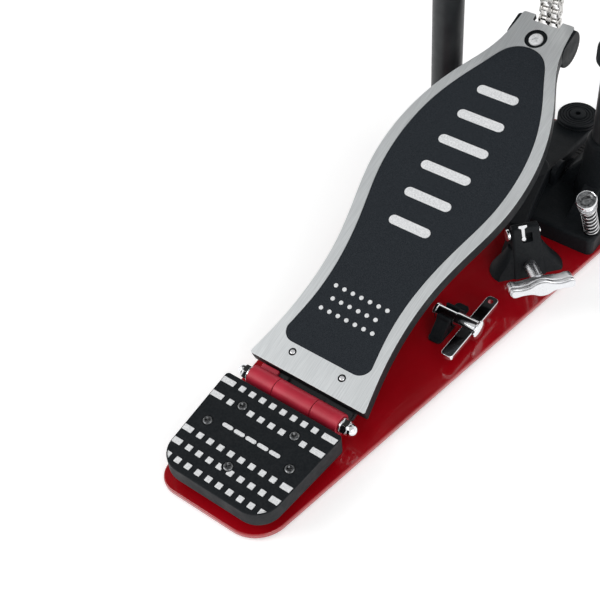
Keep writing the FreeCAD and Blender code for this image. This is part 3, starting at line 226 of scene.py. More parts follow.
SCREW_TILT = 25.0
SCREW_ROLL = 7.0
SCREW_R = 3.65
SCREW_INSIDE = 5.0
WING_BACK = 21.5

# drum key
KEY_Y = 97.4
KEY_Z = 13.0
KEY_R = 4.2

# studio, in metres: the way to the dark patch overhead, and the point that the lamps face
DARK_PATCH = (-0.45, 0.51, 0.73)
LIT_POINT = Vector((0.02, 0.10, 0.03))


# ---------------------------------------------------------------- angles and points

def V(*xyz):
    return Vector(xyz)


def deg(angle):
    return math.radians(angle)


def quarter(steps):
    """Angles from 0 to a right angle."""
    return [math.pi / 2 * k / steps for k in range(steps + 1)]


def full_turn(count, start=0.0):
    """Evenly spaced angles right round."""
    return [2 * math.pi * k / count + start for k in range(count)]


def frame_about(axis):
    """An axis made one long, with two directions square to it."""
    axis = axis.normalized()
    side = axis.orthogonal().normalized()
    return axis, side, axis.cross(side)


def ring_at(centre, side, up, radius, count):
    return [centre + (side * math.cos(a) + up * math.sin(a)) * radius for a in full_turn(count)]


def level(outline, z):
    return [V(p.x, p.y, z) for p in outline]


# ---------------------------------------------------------------- outlines

def rounded(points, radii, steps=8):
    """A closed plan outline with an arc at each corner; points run anticlockwise."""
    corners = [Vector(p) for p in points]
    outline = []
    for i, here in enumerate(corners):
        to_last = (corners[i - 1] - here).normalized()
        to_next = (corners[(i + 1) % len(corners)] - here).normalized()
        opening = math.acos(max(-1.0, min(1.0, to_last.dot(to_next))))
        reach = radii[i] / math.tan(opening / 2)
        centre = here + (to_last + to_next).normalized() * (radii[i] / math.sin(opening / 2))
        first = here + to_last * reach - centre
        sweep = (math.pi - opening) * (1 if to_last.cross(to_next) < 0 else -1)
        for k in range(steps + 1):
            c, s = math.cos(sweep * k / steps), math.sin(sweep * k / steps)
            outline.append(centre + V(first.x * c - first.y * s, first.x * s + first.y * c))
    return outline


def rectangle(x0, x1, y0, y1, radius=0.4, steps=4):
    return rounded([(x0, y0), (x1, y0), (x1, y1), (x0, y1)], [radius] * 4, steps)


def circle(radius, x=0.0, y=0.0, count=72):
    return [V(x + radius * math.cos(t), y + radius * math.sin(t)) for t in full_turn(count)]


def polygon(count, flats, turn=0.0):
    corner = flats / 2 / math.cos(math.pi / count)
    return [V(corner * math.cos(t), corner * math.sin(t)) for t in full_turn(count, deg(turn))]


def fluted(radius, depth, count, per=8):
    """A round outline with scallops cut in it."""
    return [V(math.cos(a), math.sin(a)) * (radius - depth * abs(math.cos(a * count / 2)) ** 2.2)
            for a in full_turn(count * per)]


def pill(half_length, radius, x=0.0, y=0.0, steps=10):
    outline = []
    for end in (1, -1):
        for a in (math.pi * (k / steps - 0.5) for k in range(steps + 1)):
            reach = half_length + radius * math.cos(a)
            outline.append(V(x + end * reach, y + end * radius * math.sin(a)))
    return outline


def inset(outline, distance):
    """The closed anticlockwise outline moved inwards."""
    if not distance:
        return outline
    drawn = []
    for i, here in enumerate(outline):
        before = (here - outline[i - 1]).normalized()
        after = (outline[(i + 1) % len(outline)] - here).normalized()
        first, second = V(-before.y, before.x), V(-after.y, after.x)
        drawn.append(here + (first + second) * (distance / max(0.2, 1 + first.dot(second))))
    return drawn


def smooth_through(knots, per_span=10):
    """A natural cubic curve through plan points, sampled evenly in each span."""
    values = np.array([tuple(k) for k in knots], dtype=float)
    h = np.array([(Vector(b) - Vector(a)).length for a, b in zip(knots, knots[1:])])
    count = len(values)
    system = np.eye(count)
    right = np.zeros((count, values.shape[1]))
    for i in range(1, count - 1):
        system[i, i - 1:i + 2] = h[i - 1], 2 * (h[i - 1] + h[i]), h[i]
        right[i] = 6 * ((values[i + 1] - values[i]) / h[i] - (values[i] - values[i - 1]) / h[i - 1])
    bend = np.linalg.solve(system, right)
    out = []
    for i in range(count - 1):
        slope = (values[i + 1] - values[i]) / h[i] - h[i] * (2 * bend[i] + bend[i + 1]) / 6
        for k in range(per_span):
            t = h[i] * k / per_span
            cubic = bend[i] * t * t / 2 + (bend[i + 1] - bend[i]) * t ** 3 / (6 * h[i])
            out.append(Vector(values[i] + slope * t + cubic))
    return out + [Vector(values[-1])]


# ---------------------------------------------------------------- solids

def solid(points, faces):
    """A closed mesh in millimetres with its faces turned outwards."""
    mesh = bpy.data.meshes.new("solid")
    mesh.from_pydata([tuple(p) for p in points], [], faces)
    work = bmesh.new()
    work.from_mesh(mesh)
    bmesh.ops.recalc_face_normals(work, faces=work.faces)
    work.to_mesh(mesh)
    work.free()
    return mesh


def loft(rings, looped=False):
    """A solid through rings of points; a ring of one point is a tip, and looped joins last to first."""
    starts = [0]
    for ring in rings:
        starts.append(starts[-1] + len(ring))
    spans = [(i, i + 1) for i in range(len(rings) - 1)]
    if looped:
        spans.append((len(rings) - 1, 0))
    faces = []
    for i, j in spans:
        a, b = starts[i], starts[j]
        count = max(len(rings[i]), len(rings[j]))
        for k in range(count):
            m = (k + 1) % count
            if len(rings[i]) == 1:
                faces.append((a, b + k, b + m))
            elif len(rings[j]) == 1:
                faces.append((a + k, a + m, b))
            else:
                faces.append((a + k, a + m, b + m, b + k))
    if not looped:
        for i in (0, len(rings) - 1):
            if len(rings[i]) > 1:
                faces.append(tuple(range(starts[i], starts[i + 1])))
    return solid([p for ring in rings for p in ring], faces)


def turned(profile, start, axis, looped=False, segments=72):
    """A solid of revolution; profile lists (distance along the axis, radius)."""
    axis, side, up = frame_about(axis)
    rings = []
    for distance, radius in profile:
        centre = start + axis * distance
        rings.append([centre] if radius < 1e-6 else ring_at(centre, side, up, radius, segments))
    return loft(rings, looped)


def round_profile(length, radius, start_edge, end_edge, steps=4):
    """The profile of a rod with a rounded edge at each end."""
    first = [(start_edge * (1 - math.cos(t)), radius - start_edge * (1 - math.sin(t)))
             for t in (quarter(steps) if start_edge else [0])]
    last = [(length - end_edge * (1 - math.sin(t)), radius - end_edge * (1 - math.cos(t)))
            for t in (quarter(steps) if end_edge else [0])]
    return first + last


def rod(radius, start, end, edge=0.3, end_edge=None, segments=72):
    end_edge = edge if end_edge is None else end_edge
    profile = round_profile((end - start).length, radius, edge, end_edge)
    return turned(profile, start, end - start, segments=segments)


def rod_x(radius, x0, x1, y, z, edge=0.3, end_edge=None, segments=72):
    return rod(radius, V(x0, y, z), V(x1, y, z), edge, end_edge, segments)


def rod_z(radius, x, y, z0, z1, edge=0.3, end_edge=None, segments=72):
    return rod(radius, V(x, y, z0), V(x, y, z1), edge, end_edge, segments)


def tube(outer, inner, start, end, edge=0.3, segments=72):
    length = (end - start).length
    profile = [(0, inner)] + round_profile(length, outer, edge, edge) + [(length, inner)]
    return turned(profile, start, end - start, looped=True, segments=segments)


def threaded(radius, depth, pitch, start, end, segments=36):
    """A rod with rings of thread along it."""
    length = (end - start).length
    count = max(1, int(length / pitch))
    step = length / count
    profile = [(0, radius - depth)]
    for k in range(count):
        profile += [((k + share) * step, radius) for share in (0.38, 0.62)]
        profile.append(((k + 1) * step, radius - depth))
    return turned(profile, start, end - start, segments=segments)


def slab(outline, low, high, edge=0.3, foot=0.0, steps=3):
    """A flat solid over a plan outline with its top edge, and if wanted its bottom edge, rounded."""
    levels = []
    for t in quarter(steps) if foot else [math.pi / 2]:
        levels.append((foot * (1 - math.sin(t)), low + foot * (1 - math.cos(t))))
    for t in quarter(steps) if edge else [0]:
        levels.append((edge * (1 - math.cos(t)), high - edge * (1 - math.sin(t))))
    return loft([level(inset(outline, max(0.0, distance)), z) for distance, z in levels])


def brick(x0, x1, y0, y1, z0, z1, edge=0.3, radius=None):
    corner = edge if radius is None else radius
    return slab(rectangle(x0, x1, y0, y1, max(corner, 0.01)), z0, z1, edge, edge)


def swept(path, radius, sides=14):
    """A round bar along a path of 3-D points."""
    side = (path[1] - path[0]).orthogonal().normalized()
    rings = []
    for i, here in enumerate(path):
        along = (path[min(i + 1, len(path) - 1)] - path[max(i - 1, 0)]).normalized()
        side = (side - along * side.dot(along)).normalized()
        rings.append(ring_at(here, side, along.cross(side), radius, sides))
    return loft(rings)


def coil(radius, wire, start, end, turns, per_turn=36):
    """A compression spring: one close turn at each end, open turns between."""
    axis, side, up = frame_about(end - start)
    times = [k / per_turn for k in range(int(turns * per_turn))]
    rises = [wire if min(t, turns - t) < 1.0 else 0.0 for t in times]
    open_rise = (((end - start).length - wire) * per_turn - sum(rises)) / rises.count(0.0)
    path = []
    height = wire / 2
    for k in range(len(rises) + 1):
        a = 2 * math.pi * k / per_turn
        path.append(start + axis * height + (side * math.cos(a) + up * math.sin(a)) * radius)
        if k < len(rises):
            height += (rises[k] or open_rise) / per_turn
    return swept(path, wire / 2)


# ---------------------------------------------------------------- placing and combining

def moved(mesh, matrix):
    mesh.transform(matrix)
    if matrix.determinant() < 0:
        mesh.flip_normals()
    return mesh


def shifted(mesh, x, y, z):
    return moved(mesh, Matrix.Translation((x, y, z)))


def mirrored(mesh):
    return moved(mesh.copy(), Matrix.Diagonal((-1, 1, 1, 1)))


def basis(origin, x_axis, y_axis, z_axis):
    """The matrix that puts a shape drawn on the usual axes onto these ones."""
    matrix = Matrix.Identity(4)
    for column, axis in enumerate((x_axis, y_axis, z_axis, origin)):
        for row in range(3):
            matrix[row][column] = axis[row]
    return matrix


def standing_on(origin, axis, side=None):
    """The matrix that turns +Z to the given axis, at origin."""
    axis = axis.normalized()
    side = axis.orthogonal() if side is None else side
    side = (side - axis * side.dot(axis)).normalized()
    return basis(origin, side, axis.cross(side), axis)


def turn(angle, axis):
    return Matrix.Rotation(deg(angle), 4, axis)


ACROSS = basis(V(0, 0, 0), Y, Z, X)        # a plan drawn in (y, z) and raised along x
FORWARD = basis(V(0, 0, 0), X, Z, -Y)      # a plan drawn in (x, z) and raised towards -y
FOOT = Matrix.Translation(FOOT_HEEL) @ turn(FOOT_ANGLE, "X")
HEEL = Matrix.Translation((0, STUD_ROWS[0], HEEL_TOP_Z)) @ turn(HEEL_TILT, "X")
BLOCK = Matrix.Translation(BLOCK_AT) @ turn(BLOCK_YAW, "Z")
SCREW = (Matrix.Translation(SCREW_EXIT) @ turn(SCREW_AZIMUTH + 90, "Z")
         @ turn(-SCREW_TILT, "X") @ turn(-SCREW_ROLL, "Y"))


def across(outline, x0, x1, edge=0.0, steps=3):
    """A slab whose plan is drawn in (y, z), from x0 to x1, with both edges rounded."""
    return moved(slab(outline, x0, x1, edge, edge, steps), ACROSS)


def together(*meshes):
    """One mesh of several shells that don't need to be cut into each other."""
    work = bmesh.new()
    for mesh in meshes:
        work.from_mesh(mesh)
    out = bpy.data.meshes.new("together")
    work.to_mesh(out)
    work.free()
    return out


def combined(kind, base, others):
    objects = [bpy.data.objects.new("shape", mesh) for mesh in (base, *others)]
    for each in objects:
        bpy.context.scene.collection.objects.link(each)
    for other in objects[1:]:
        modifier = objects[0].modifiers.new(kind, "BOOLEAN")
        modifier.operation = kind
        modifier.solver = "MANIFOLD"
        modifier.object = other
    graph = bpy.context.evaluated_depsgraph_get()
    out = bpy.data.meshes.new_from_object(objects[0].evaluated_get(graph))
    for each in objects:
        bpy.data.objects.remove(each)
    return out


def union(base, *others):
    return combined("UNION", base, others)


def cut(base, *others):
    return combined("DIFFERENCE", base, others)


def common(base, *others):
    return combined("INTERSECT", base, others)


# ---------------------------------------------------------------- materials

def node(tree, kind, inputs, operation=None):
    """Adds a shader node; inputs maps its sockets to values or to other nodes' sockets."""
    made = tree.nodes.new("ShaderNode" + kind)
    if operation:
        made.operation = operation
    for socket, value in inputs.items():
        if isinstance(value, bpy.types.NodeSocket):
            tree.links.new(value, made.inputs[socket])
        else:
            made.inputs[socket].default_value = value
    return made


def ranged(tree, value, from_low, from_high, to_low, to_high):
    """A shader value that follows another from one range to the next."""
    return node(tree, "MapRange", {"Value": value, "From Min": from_low, "From Max": from_high,
                                   "To Min": to_low, "To Max": to_high}).outputs["Result"]


class Look:
    """A principled material whose sockets can follow noise that is fixed to the part.

    A noise's scale is in features to the metre.
    """

    def __init__(self, colour, metallic=0.0, roughness=0.5, **inputs):
        self.material = bpy.data.materials.new("look")
        self.material.use_nodes = True
        self.tree = self.material.node_tree
        self.sockets = self.tree.nodes["Principled BSDF"].inputs
        self.sockets["Base Color"].default_value = (*colour, 1)
        self.sockets["Metallic"].default_value = metallic
        self.sockets["Roughness"].default_value = roughness
        for socket, value in inputs.items():
            self.sockets[socket.replace("_", " ")].default_value = value

    def noise(self, scale, stretch=(1, 1, 1), detail=3.0):
        place = node(self.tree, "TexCoord", {}).outputs["Object"]
        mapping = node(self.tree, "Mapping", {"Vector": place, "Scale": stretch})
        return node(self.tree, "TexNoise", {"Vector": mapping.outputs["Vector"], "Scale": scale,
                                            "Detail": detail}).outputs["Fac"]

    def tint(self, scale, first, second, low=0.35, high=0.65, **noise):
        """Lets the colour run from first to second with noise."""
        made = node(self.tree, "ValToRGB", {"Fac": self.noise(scale, **noise)})
        for stop, place, colour in zip(made.color_ramp.elements, (low, high), (first, second)):
            stop.position = place
            stop.color = (*colour, 1)
        self.tree.links.new(made.outputs["Color"], self.sockets["Base Color"])
        return self

    def worn(self, scale, low, high, **noise):
        """Lets the roughness run from low to high with noise."""
        followed = ranged(self.tree, self.noise(scale, **noise), 0.3, 0.7, low, high)
        self.tree.links.new(followed, self.sockets["Roughness"])
        return self

    def relief(self, scale, strength, depth, **noise):
        """Bump from noise, over any bump that is there already; depth is in millimetres."""
        inputs = {"Strength": strength, "Distance": depth * 0.001, "Height": self.noise(scale, **noise)}
        if self.sockets["Normal"].links:
            inputs["Normal"] = self.sockets["Normal"].links[0].from_socket
        self.tree.links.new(node(self.tree, "Bump", inputs).outputs["Normal"], self.sockets["Normal"])
        return self


def red_enamel():
    """Deep gloss red over steel, with a faint orange peel."""
    look = Look((0.36, 0.002, 0.009), roughness=0.25, Coat_Weight=1.0, Coat_Roughness=0.03)
    return look.tint(30, (0.33, 0.001, 0.005), (0.40, 0.001, 0.007)).relief(260, 0.08, 0.05, detail=1.0)


def black_casting():
    """Powder coat on a casting: fine pimples and slightly uneven sheen."""
    look = Look((0.009, 0.011, 0.013), Specular_IOR_Level=0.16)
    look.tint(900, (0.006, 0.008, 0.010), (0.012, 0.014, 0.016)).worn(160, 0.42, 0.60)
    return look.relief(1500, 0.35, 0.06, detail=2.0).relief(220, 0.15, 0.10)


def light_grip():
    """Satin aluminium-coloured paint on the raised grips."""
    look = Look((0.72, 0.73, 0.74)).tint(1200, (0.62, 0.63, 0.64), (0.80, 0.81, 0.82))
    return look.worn(500, 0.40, 0.60).relief(2200, 0.30, 0.03)


def chrome():
    """Bright plate over polished steel."""
    return Look((0.86, 0.87, 0.89), metallic=1.0).worn(220, 0.045, 0.11).relief(130, 0.05, 0.05, detail=1.0)


def satin_chrome():
    """Plate over a casting that was only tumbled, so its gleam is soft."""
    look = Look((0.80, 0.81, 0.83), metallic=1.0)
    return look.worn(120, 0.24, 0.34, detail=1.0).relief(300, 0.03, 0.03, detail=1.0)


def dull_steel():
    """Zinc-grey face with fine pits."""
    look = Look((0.17, 0.175, 0.18), metallic=1.0)
    look.tint(900, (0.10, 0.105, 0.11), (0.28, 0.285, 0.29), 0.40, 0.60)
    return look.worn(700, 0.25, 0.42).relief(1100, 0.30, 0.06)


def crimson_metal():
    """Translucent red finish on machined aluminium."""
    look = Look((0.50, 0.012, 0.040), metallic=0.15, Coat_Weight=0.25, Coat_Roughness=0.35)
    look.tint(70, (0.42, 0.010, 0.030), (0.52, 0.016, 0.045)).worn(600, 0.42, 0.58, stretch=(0.06, 1, 1))
    return look.relief(1400, 0.20, 0.02, stretch=(0.05, 1, 1))


def silver_rim():
    """Machined aluminium face, brushed along the board."""
    brushed = {"stretch": (1, 0.018, 0.06), "detail": 2.0}
    look = Look((0.70, 0.725, 0.73), metallic=0.75)
    look.tint(2600, (0.65, 0.675, 0.685), (0.75, 0.775, 0.785), **brushed)
    return look.worn(1500, 0.34, 0.50, stretch=(1, 0.03, 0.1)).relief(2600, 0.25, 0.02, **brushed)


def black_insert():
    """Gritty black grip sheet."""
    look = Look((0.015, 0.019, 0.024), roughness=0.8, Specular_IOR_Level=0.15)
    look.tint(2600, (0.009, 0.012, 0.016), (0.026, 0.031, 0.037))
    return look.relief(2400, 0.60, 0.12, detail=2.0).relief(120, 0.06, 0.20)


def black_steel():
    """Smooth black coat on tube and turned parts."""
    look = Look((0.017, 0.019, 0.021), Specular_IOR_Level=0.3, Coat_Weight=0.12, Coat_Roughness=0.25)
    look.tint(90, (0.013, 0.015, 0.017), (0.021, 0.023, 0.025))
    return look.worn(300, 0.36, 0.50).relief(1800, 0.15, 0.03)


def rubber():
    look = Look((0.022, 0.022, 0.023), roughness=0.85)
    return look.tint(400, (0.016, 0.016, 0.017), (0.032, 0.032, 0.033)).relief(900, 0.35, 0.10)


def steel():
    """Plain machined steel with fine turning lines."""
    look = Look((0.60, 0.60, 0.61), metallic=1.0).tint(300, (0.52, 0.52, 0.53), (0.66, 0.66, 0.67))
    return look.worn(700, 0.22, 0.36).relief(1600, 0.12, 0.02, stretch=(1, 0.1, 0.1))


def nickel_chain():
    look = Look((0.66, 0.65, 0.63), metallic=1.0).tint(500, (0.50, 0.49, 0.47), (0.72, 0.71, 0.69))
    return look.worn(900, 0.16, 0.34).relief(1500, 0.12, 0.02)


def spring_steel():
    look = Look((0.56, 0.56, 0.57), metallic=1.0).tint(400, (0.48, 0.48, 0.49), (0.62, 0.62, 0.63))
    return look.worn(800, 0.12, 0.26).relief(1200, 0.10, 0.02)


def felt():
    """Pressed wool felt: matted fibres and soft mottling."""
    look = Look((0.70, 0.68, 0.63), roughness=0.95, Sheen_Weight=0.5, Sheen_Roughness=0.6)
    look.tint(700, (0.55, 0.53, 0.48), (0.76, 0.74, 0.69), detail=6.0)
    return look.relief(1100, 0.9, 0.35, detail=8.0).relief(90, 0.4, 0.60)


def black_plastic():
    look = Look((0.024, 0.024, 0.025)).tint(250, (0.016, 0.016, 0.017), (0.024, 0.024, 0.025))
    return look.worn(400, 0.35, 0.5).relief(1300, 0.18, 0.04)


def grey_plastic():
    look = Look((0.13, 0.13, 0.135)).tint(250, (0.10, 0.10, 0.105), (0.13, 0.13, 0.135))
    return look.worn(400, 0.3, 0.45).relief(1300, 0.18, 0.04)


def all_materials():
    makers = [red_enamel, black_casting, light_grip, chrome, crimson_metal, silver_rim, black_insert,
              black_steel, rubber, steel, nickel_chain, spring_steel, felt, satin_chrome, dull_steel,
              black_plastic, grey_plastic]
    made = {maker.__name__: maker().material for maker in makers}
    for name, material in made.items():
        material.name = "look_" + name
    return made


MATERIALS = all_materials()


def piece(name, mesh, body, finish, *nodes, sharp=34.0, look=None):
    """Shows a mesh drawn in millimetres as a piece of the object, in place of the CAD nodes.
    """
    mesh = mesh.copy()
    mesh.name = name
    mesh.transform(Matrix.Scale(0.001, 4))
    mesh.polygons.foreach_set("use_smooth", [True] * len(mesh.polygons))
    mesh.set_sharp_from_angle(angle=deg(sharp))
    mesh.materials.clear()
    mesh.materials.append(MATERIALS[look or finish])
    made = bpy.data.objects.new(name, mesh)
    bpy.context.scene.collection.objects.link(made)
    weighted = made.modifiers.new("weighted normals", "WEIGHTED_NORMAL")
    weighted.keep_sharp = True
    if body:
        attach(made, body)
    if nodes:
        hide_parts(*nodes)
    return made


# ---------------------------------------------------------------- base

def base_outline(inwards):
    """The base plate's plan, drawn in by some millimetres."""
    shoulder = SHOULDER_Y - inwards
    back = HEEL_END_Y + inwards
    front = TONGUE_Y - inwards
    wide, heel = (SIDE_X_AT_HINGE + SIDE_SLOPE * y - inwards for y in (shoulder, back))
    tongue = TONGUE_HALF - inwards
    corners = [(heel, back), (wide, shoulder), (tongue, shoulder), (tongue, front),
               (-tongue, front), (-tongue, shoulder), (-wide, shoulder),
               (inwards - LEFT_TOE[0], LEFT_TOE[1]), (inwards - LEFT_WAIST[0], LEFT_WAIST[1]),
               (inwards - LEFT_HEEL_X, back)]
    toe_radii = [18.0 - inwards, 8.0 + inwards, 10.0 - inwards]
    radii = [20.0 - inwards] + toe_radii + toe_radii[::-1] + [20.0 - inwards, 60.0, 13.0 - inwards]
    return rounded(corners, radii, 12)


def spur_axis(side):
    """A point on a spur's axis at the casting's top, and the direction up the axis."""
    tilt = deg(SPUR_TILT)
    return V(*SPUR_FEET[side], PED_TOP), V(0, -math.sin(tilt), math.cos(tilt))


def spur_rod(side, radius, low, high, edge=0.3):
    """A rod on a spur's axis between two heights over the casting's top."""
    at, up = spur_axis(side)
    return rod(radius, at + up * low, at + up * high, edge)


def spur_holes(radius):
    return [spur_rod(side, radius, -30, 30, 0) for side in SIDES.values()]


def make_base():
    plate = slab(base_outline(0.0), PAD_TOP, BASE_TOP, 0.8, 0.3)
    piece("base_plate_enamel", cut(plate, *spur_holes(SPUR_R + 1.0)), "root", "red_enamel", "base_plate")
    pad = slab(base_outline(PAD_INSET), 0.0, PAD_TOP, 0.0, 0.4)
    piece("base_grip_rubber", cut(pad, *spur_holes(SPUR_R + 1.5)), "root", "rubber", "base_grip_pad")
    hoop = slab(rectangle(-34, 42, 254, 287, 4.0, 8), BASE_TOP, BASE_TOP + 1.5, 0.5)
    grooves = [brick(-40, 50, y - 0.5, y + 0.5, BASE_TOP + 0.9, BASE_TOP + 3, 0.01)
               for y in range(265, 286, 3)]
    piece("hoop_pad_rubber", cut(hoop, *grooves), "root", "rubber", "hoop_pad")


# ---------------------------------------------------------------- heel plate and hinge

def heel_outline(inwards):
    back = HEEL_BACK_HALF - inwards
    front = HEEL_FRONT_HALF - inwards
    low = HEEL_BACK_Y + inwards
    high = HEEL_FRONT_Y - inwards
    big = HEEL_CORNER_R - inwards
    small = max(0.25, 2.0 - inwards)
    return rounded([(-back, low), (back, low), (front, high), (-front, high)], [big, big, small, small], 10)


def heel_top_ring(edge, angle):
    """The plan at the sloping top, drawn in and down round an edge."""
    slope = math.tan(deg(HEEL_TILT))
    drop = edge * (math.sin(angle) - 1)
    return [V(p.x, p.y, HEEL_TOP_Z + (p.y - STUD_ROWS[0]) * slope + drop)
            for p in heel_outline(edge * (1 - math.cos(angle)))]


def screw_recess(radius, at, z0, z1):
    """A heel screw's hole in the plate's own sloping frame."""
    return rod_z(radius, at[0], at[1] - STUD_ROWS[0], z0, z1, 0, segments=40)


def heel_body():
    foot = heel_outline(6.0)
    rings = [level(foot, BASE_TOP), level(foot, HEEL_SKIRT_Z)]
    rings += [level(heel_outline(3.0 * (1 - math.sin(a))), HEEL_SKIRT_Z + 3.0 * (1 - math.cos(a)))
              for a in quarter(6)]
    rings += [heel_top_ring(0.45, a) for a in quarter(3)]
    recesses = [moved(screw_recess(HEEL_RECESS_R, at, -HEEL_SCREW_DEPTH, 5.3), HEEL) for at in HEEL_SCREWS]
    return cut(loft(rings), *recesses)


def clipped(outline, limit):
    """The part of a convex outline inside another, both anticlockwise."""
    for a, b in zip(limit, limit[1:] + limit[:1]):
        edge = b - a
        passed = []
        for p, q in zip(outline, outline[1:] + outline[:1]):
            p_in = edge.cross(p - a)
            q_in = edge.cross(q - a)
            if p_in >= 0:
                passed.append(p)
            if (p_in > 0 > q_in) or (p_in < 0 < q_in):
                passed.append(p.lerp(q, p_in / (p_in - q_in)))
        outline = passed
    return outline


def area(outline):
    return sum(a.cross(b) for a, b in zip(outline, outline[1:] + outline[:1])) / 2


def spaced(outline, least=0.05):
    """The outline without points that nearly coincide."""
    kept = []
    for point in outline:
        if not kept or (point - kept[-1]).length > least:
            kept.append(point)
    return kept[:-1] if (kept[0] - kept[-1]).length <= least else kept


def stud_outlines():
    """Rows of square studs with a long stud at each end, and a row of short pills."""
    inner = 4.5 * STUD_PITCH - STUD_HALF
    for y in STUD_ROWS:
        ends = y != STUD_ROWS[-1]
        spans = [(x - STUD_HALF, x + STUD_HALF)
                 for x in ((i - 3.5) * STUD_PITCH for i in (range(8) if ends else range(-1, 9)))]
        spans += [(inner, 60), (-60, -inner)] if ends else []
        for x0, x1 in spans:
            yield rectangle(x0, x1, y - STUD_HALF, y + STUD_HALF, 0.25, 2)
    for i in range(5):
        yield pill(2.2, 1.1, (i - 2) * 7.6, STUD_ROWS[0] - 22.4)


def heel_studs():
    """The studs that fit on the plate, cut back round the screws."""
    limit = heel_outline(0.7)
    studs = []
    for shape in stud_outlines():
        kept = clipped(shape, limit)
        if area(kept) < 2.0:
            continue
        middle = sum(kept, V(0, 0)) / len(kept)
        near = [s for s in HEEL_SCREWS if (Vector(s) - middle).length < 6.0]
        if any((Vector(s) - middle).length < 3.5 for s in near):
            continue
        stud = slab([p - V(0, STUD_ROWS[0]) for p in spaced(kept)], -0.2, 0.5, 0.22)
        for at in near:
            stud = cut(stud, screw_recess(HEEL_RECESS_R + 0.4, at, -2, 3))
        studs.append(moved(stud, HEEL))
    return together(*studs)


def cross_head(radius, height, drive, matrix, flare=0.0):
    """A pan-head screw's head on z = 0 with a cross recess."""
    profile = [(0, radius - flare), (height * 0.25, radius)]
    profile += [(height * (0.25 + 0.75 * math.sin(a)), radius * (0.62 + 0.38 * math.cos(a)))
                for a in quarter(6)[1:]]
    head = turned(profile, V(0, 0, 0), Z, segments=48)
    reach = drive / 2
    width = drive * 0.11
    for angle in (45, 135):
        slot = loft([[V(x * long, y * half, z) for x, y in ((-1, -1), (1, -1), (1, 1), (-1, 1))]
                     for long, half, z in ((reach * 0.45, width * 0.7, height * 0.25),
                                           (reach, width * 1.3, height + 0.2))])
        head = cut(head, moved(slot, turn(angle, "Z")))
    return moved(head, matrix)


def heel_screw_heads():
    seats = [Matrix.Translation((x, y - STUD_ROWS[0], -HEEL_SCREW_DEPTH)) for x, y in HEEL_SCREWS]
    return together(*[cross_head(2.7, 1.3, 3.6, HEEL @ seat) for seat in seats])


def hinge_block():
    """The middle knuckle on its web and flange."""
    half = MIDDLE_KNUCKLE
    barrel = rod_x(BARREL_R, -half, half, 0, HINGE_Z, 0.45)
    web = brick(-half, half, -4.2, 3.0, BASE_TOP, HINGE_Z, 0.3)
    flange = brick(-27, 27, -9.2, 7.0, BASE_TOP, BASE_TOP + 3.0, 0.4, 2.0)
    return cut(union(barrel, web, flange), rod_x(HINGE_PIN_R, -50, 50, 0, HINGE_Z, 0))


def hex_nut(flats, length, matrix):
    """A hexagon with its corners turned off at both ends, standing on z = 0."""
    corner = flats / math.sqrt(3)
    lift = (corner - flats / 2) * 0.55
    profile = [(-0.01, flats / 2), (lift, corner), (length - lift, corner), (length + 0.01, flats / 2)]
    round_ends = turned(profile, V(0, 0, 0), Z, segments=60)
    return moved(common(slab(polygon(6, flats), 0, length, 0), round_ends), matrix)


def acorn_nut():
    """A domed nut and its washer on the right end of the hinge pin."""
    start = KNUCKLE_END + 1.3
    washer = tube(4.6, HINGE_PIN_R, V(KNUCKLE_END + GAP, 0, HINGE_Z), V(start, 0, HINGE_Z), 0.25)
    hexagon = hex_nut(7.4, 3.4, standing_on(V(start, 0, HINGE_Z), X, Y))
    curve = [(1.2 + 3.4 * math.sin(a), 3.4 * math.cos(a)) for a in quarter(10)[:-1]]
    dome = turned([(0, 3.2), (1.0, 3.4), *curve, (4.6, 0)], V(start + 3.3, 0, HINGE_Z), X)
    return union(washer, hexagon, dome)


def hinge_on_foot():
    """The hinge axis in the footboard's own (s, h)."""
    at = FOOT.inverted() @ V(0, 0, HINGE_Z)
    return at.y, at.z


def knuckle_span(side, trim=0.0):
    return sorted((side * (MIDDLE_KNUCKLE + GAP), side * (KNUCKLE_END - trim)))


def hinge_half(*solids):
    """Solids drawn in the board's frame, bored for the hinge pin and put in place."""
    return moved(cut(union(*solids), rod_x(HINGE_PIN_R, -50, 50, *hinge_on_foot(), 0)), FOOT)


def hinge_knuckles():
    """The two outer knuckles, and the lip beside the left one."""
    barrels = [rod_x(BARREL_R, *knuckle_span(side), *hinge_on_foot(), 0.45) for side in (1, -1)]
    return hinge_half(*barrels, brick(-KNUCKLE_END, -18.5, -6.5, -0.5, -8.2, -5.0, 0.5))


def hinge_leaf():
    """The flat leaf under the board and the arms that carry the knuckles."""
    low = -FOOT_THICK - LEAF_THICK
    leaf = brick(-30, 30, -4.0, 21.5, low, -FOOT_THICK - 0.05, 0.35, 1.0)
    axis_s = hinge_on_foot()[0]
    arms = [brick(*knuckle_span(side, 0.3), axis_s, -0.6, low, -6.8, 0.2) for side in (1, -1)]
    return hinge_half(leaf, *arms)


def make_heel():
    piece("heel_plate_body", heel_body(), "root", "black_casting", "heel_plate")
    piece("heel_studs", heel_studs(), "root", "light_grip", "heel_grip_studs")
    piece("heel_screw_heads", heel_screw_heads(), "root", "steel", "heel_screws", look="dull_steel")
    piece("hinge_centre", hinge_block(), "root", "crimson_metal", "heel_hinge_block")
    nut = acorn_nut()
    piece("hinge_acorn_nuts", together(nut, mirrored(nut)), "root", "chrome", "hinge_nuts")
    piece("hinge_knuckles", hinge_knuckles(), "footboard", "crimson_metal", "footboard_hinge_leaf")
    # The leaf and its arms are the same crimson part as the knuckles but are drawn black: painted shade for
    # the dark gap under the board's heel.
    piece("hinge_leaf", hinge_leaf(), "footboard", "crimson_metal", look="black_steel")
    piece("hinge_pin_rod", rod_x(HINGE_PIN_R, -34, 34, 0, HINGE_Z), "root", "steel", "hinge_pin")


# ---------------------------------------------------------------- footboard

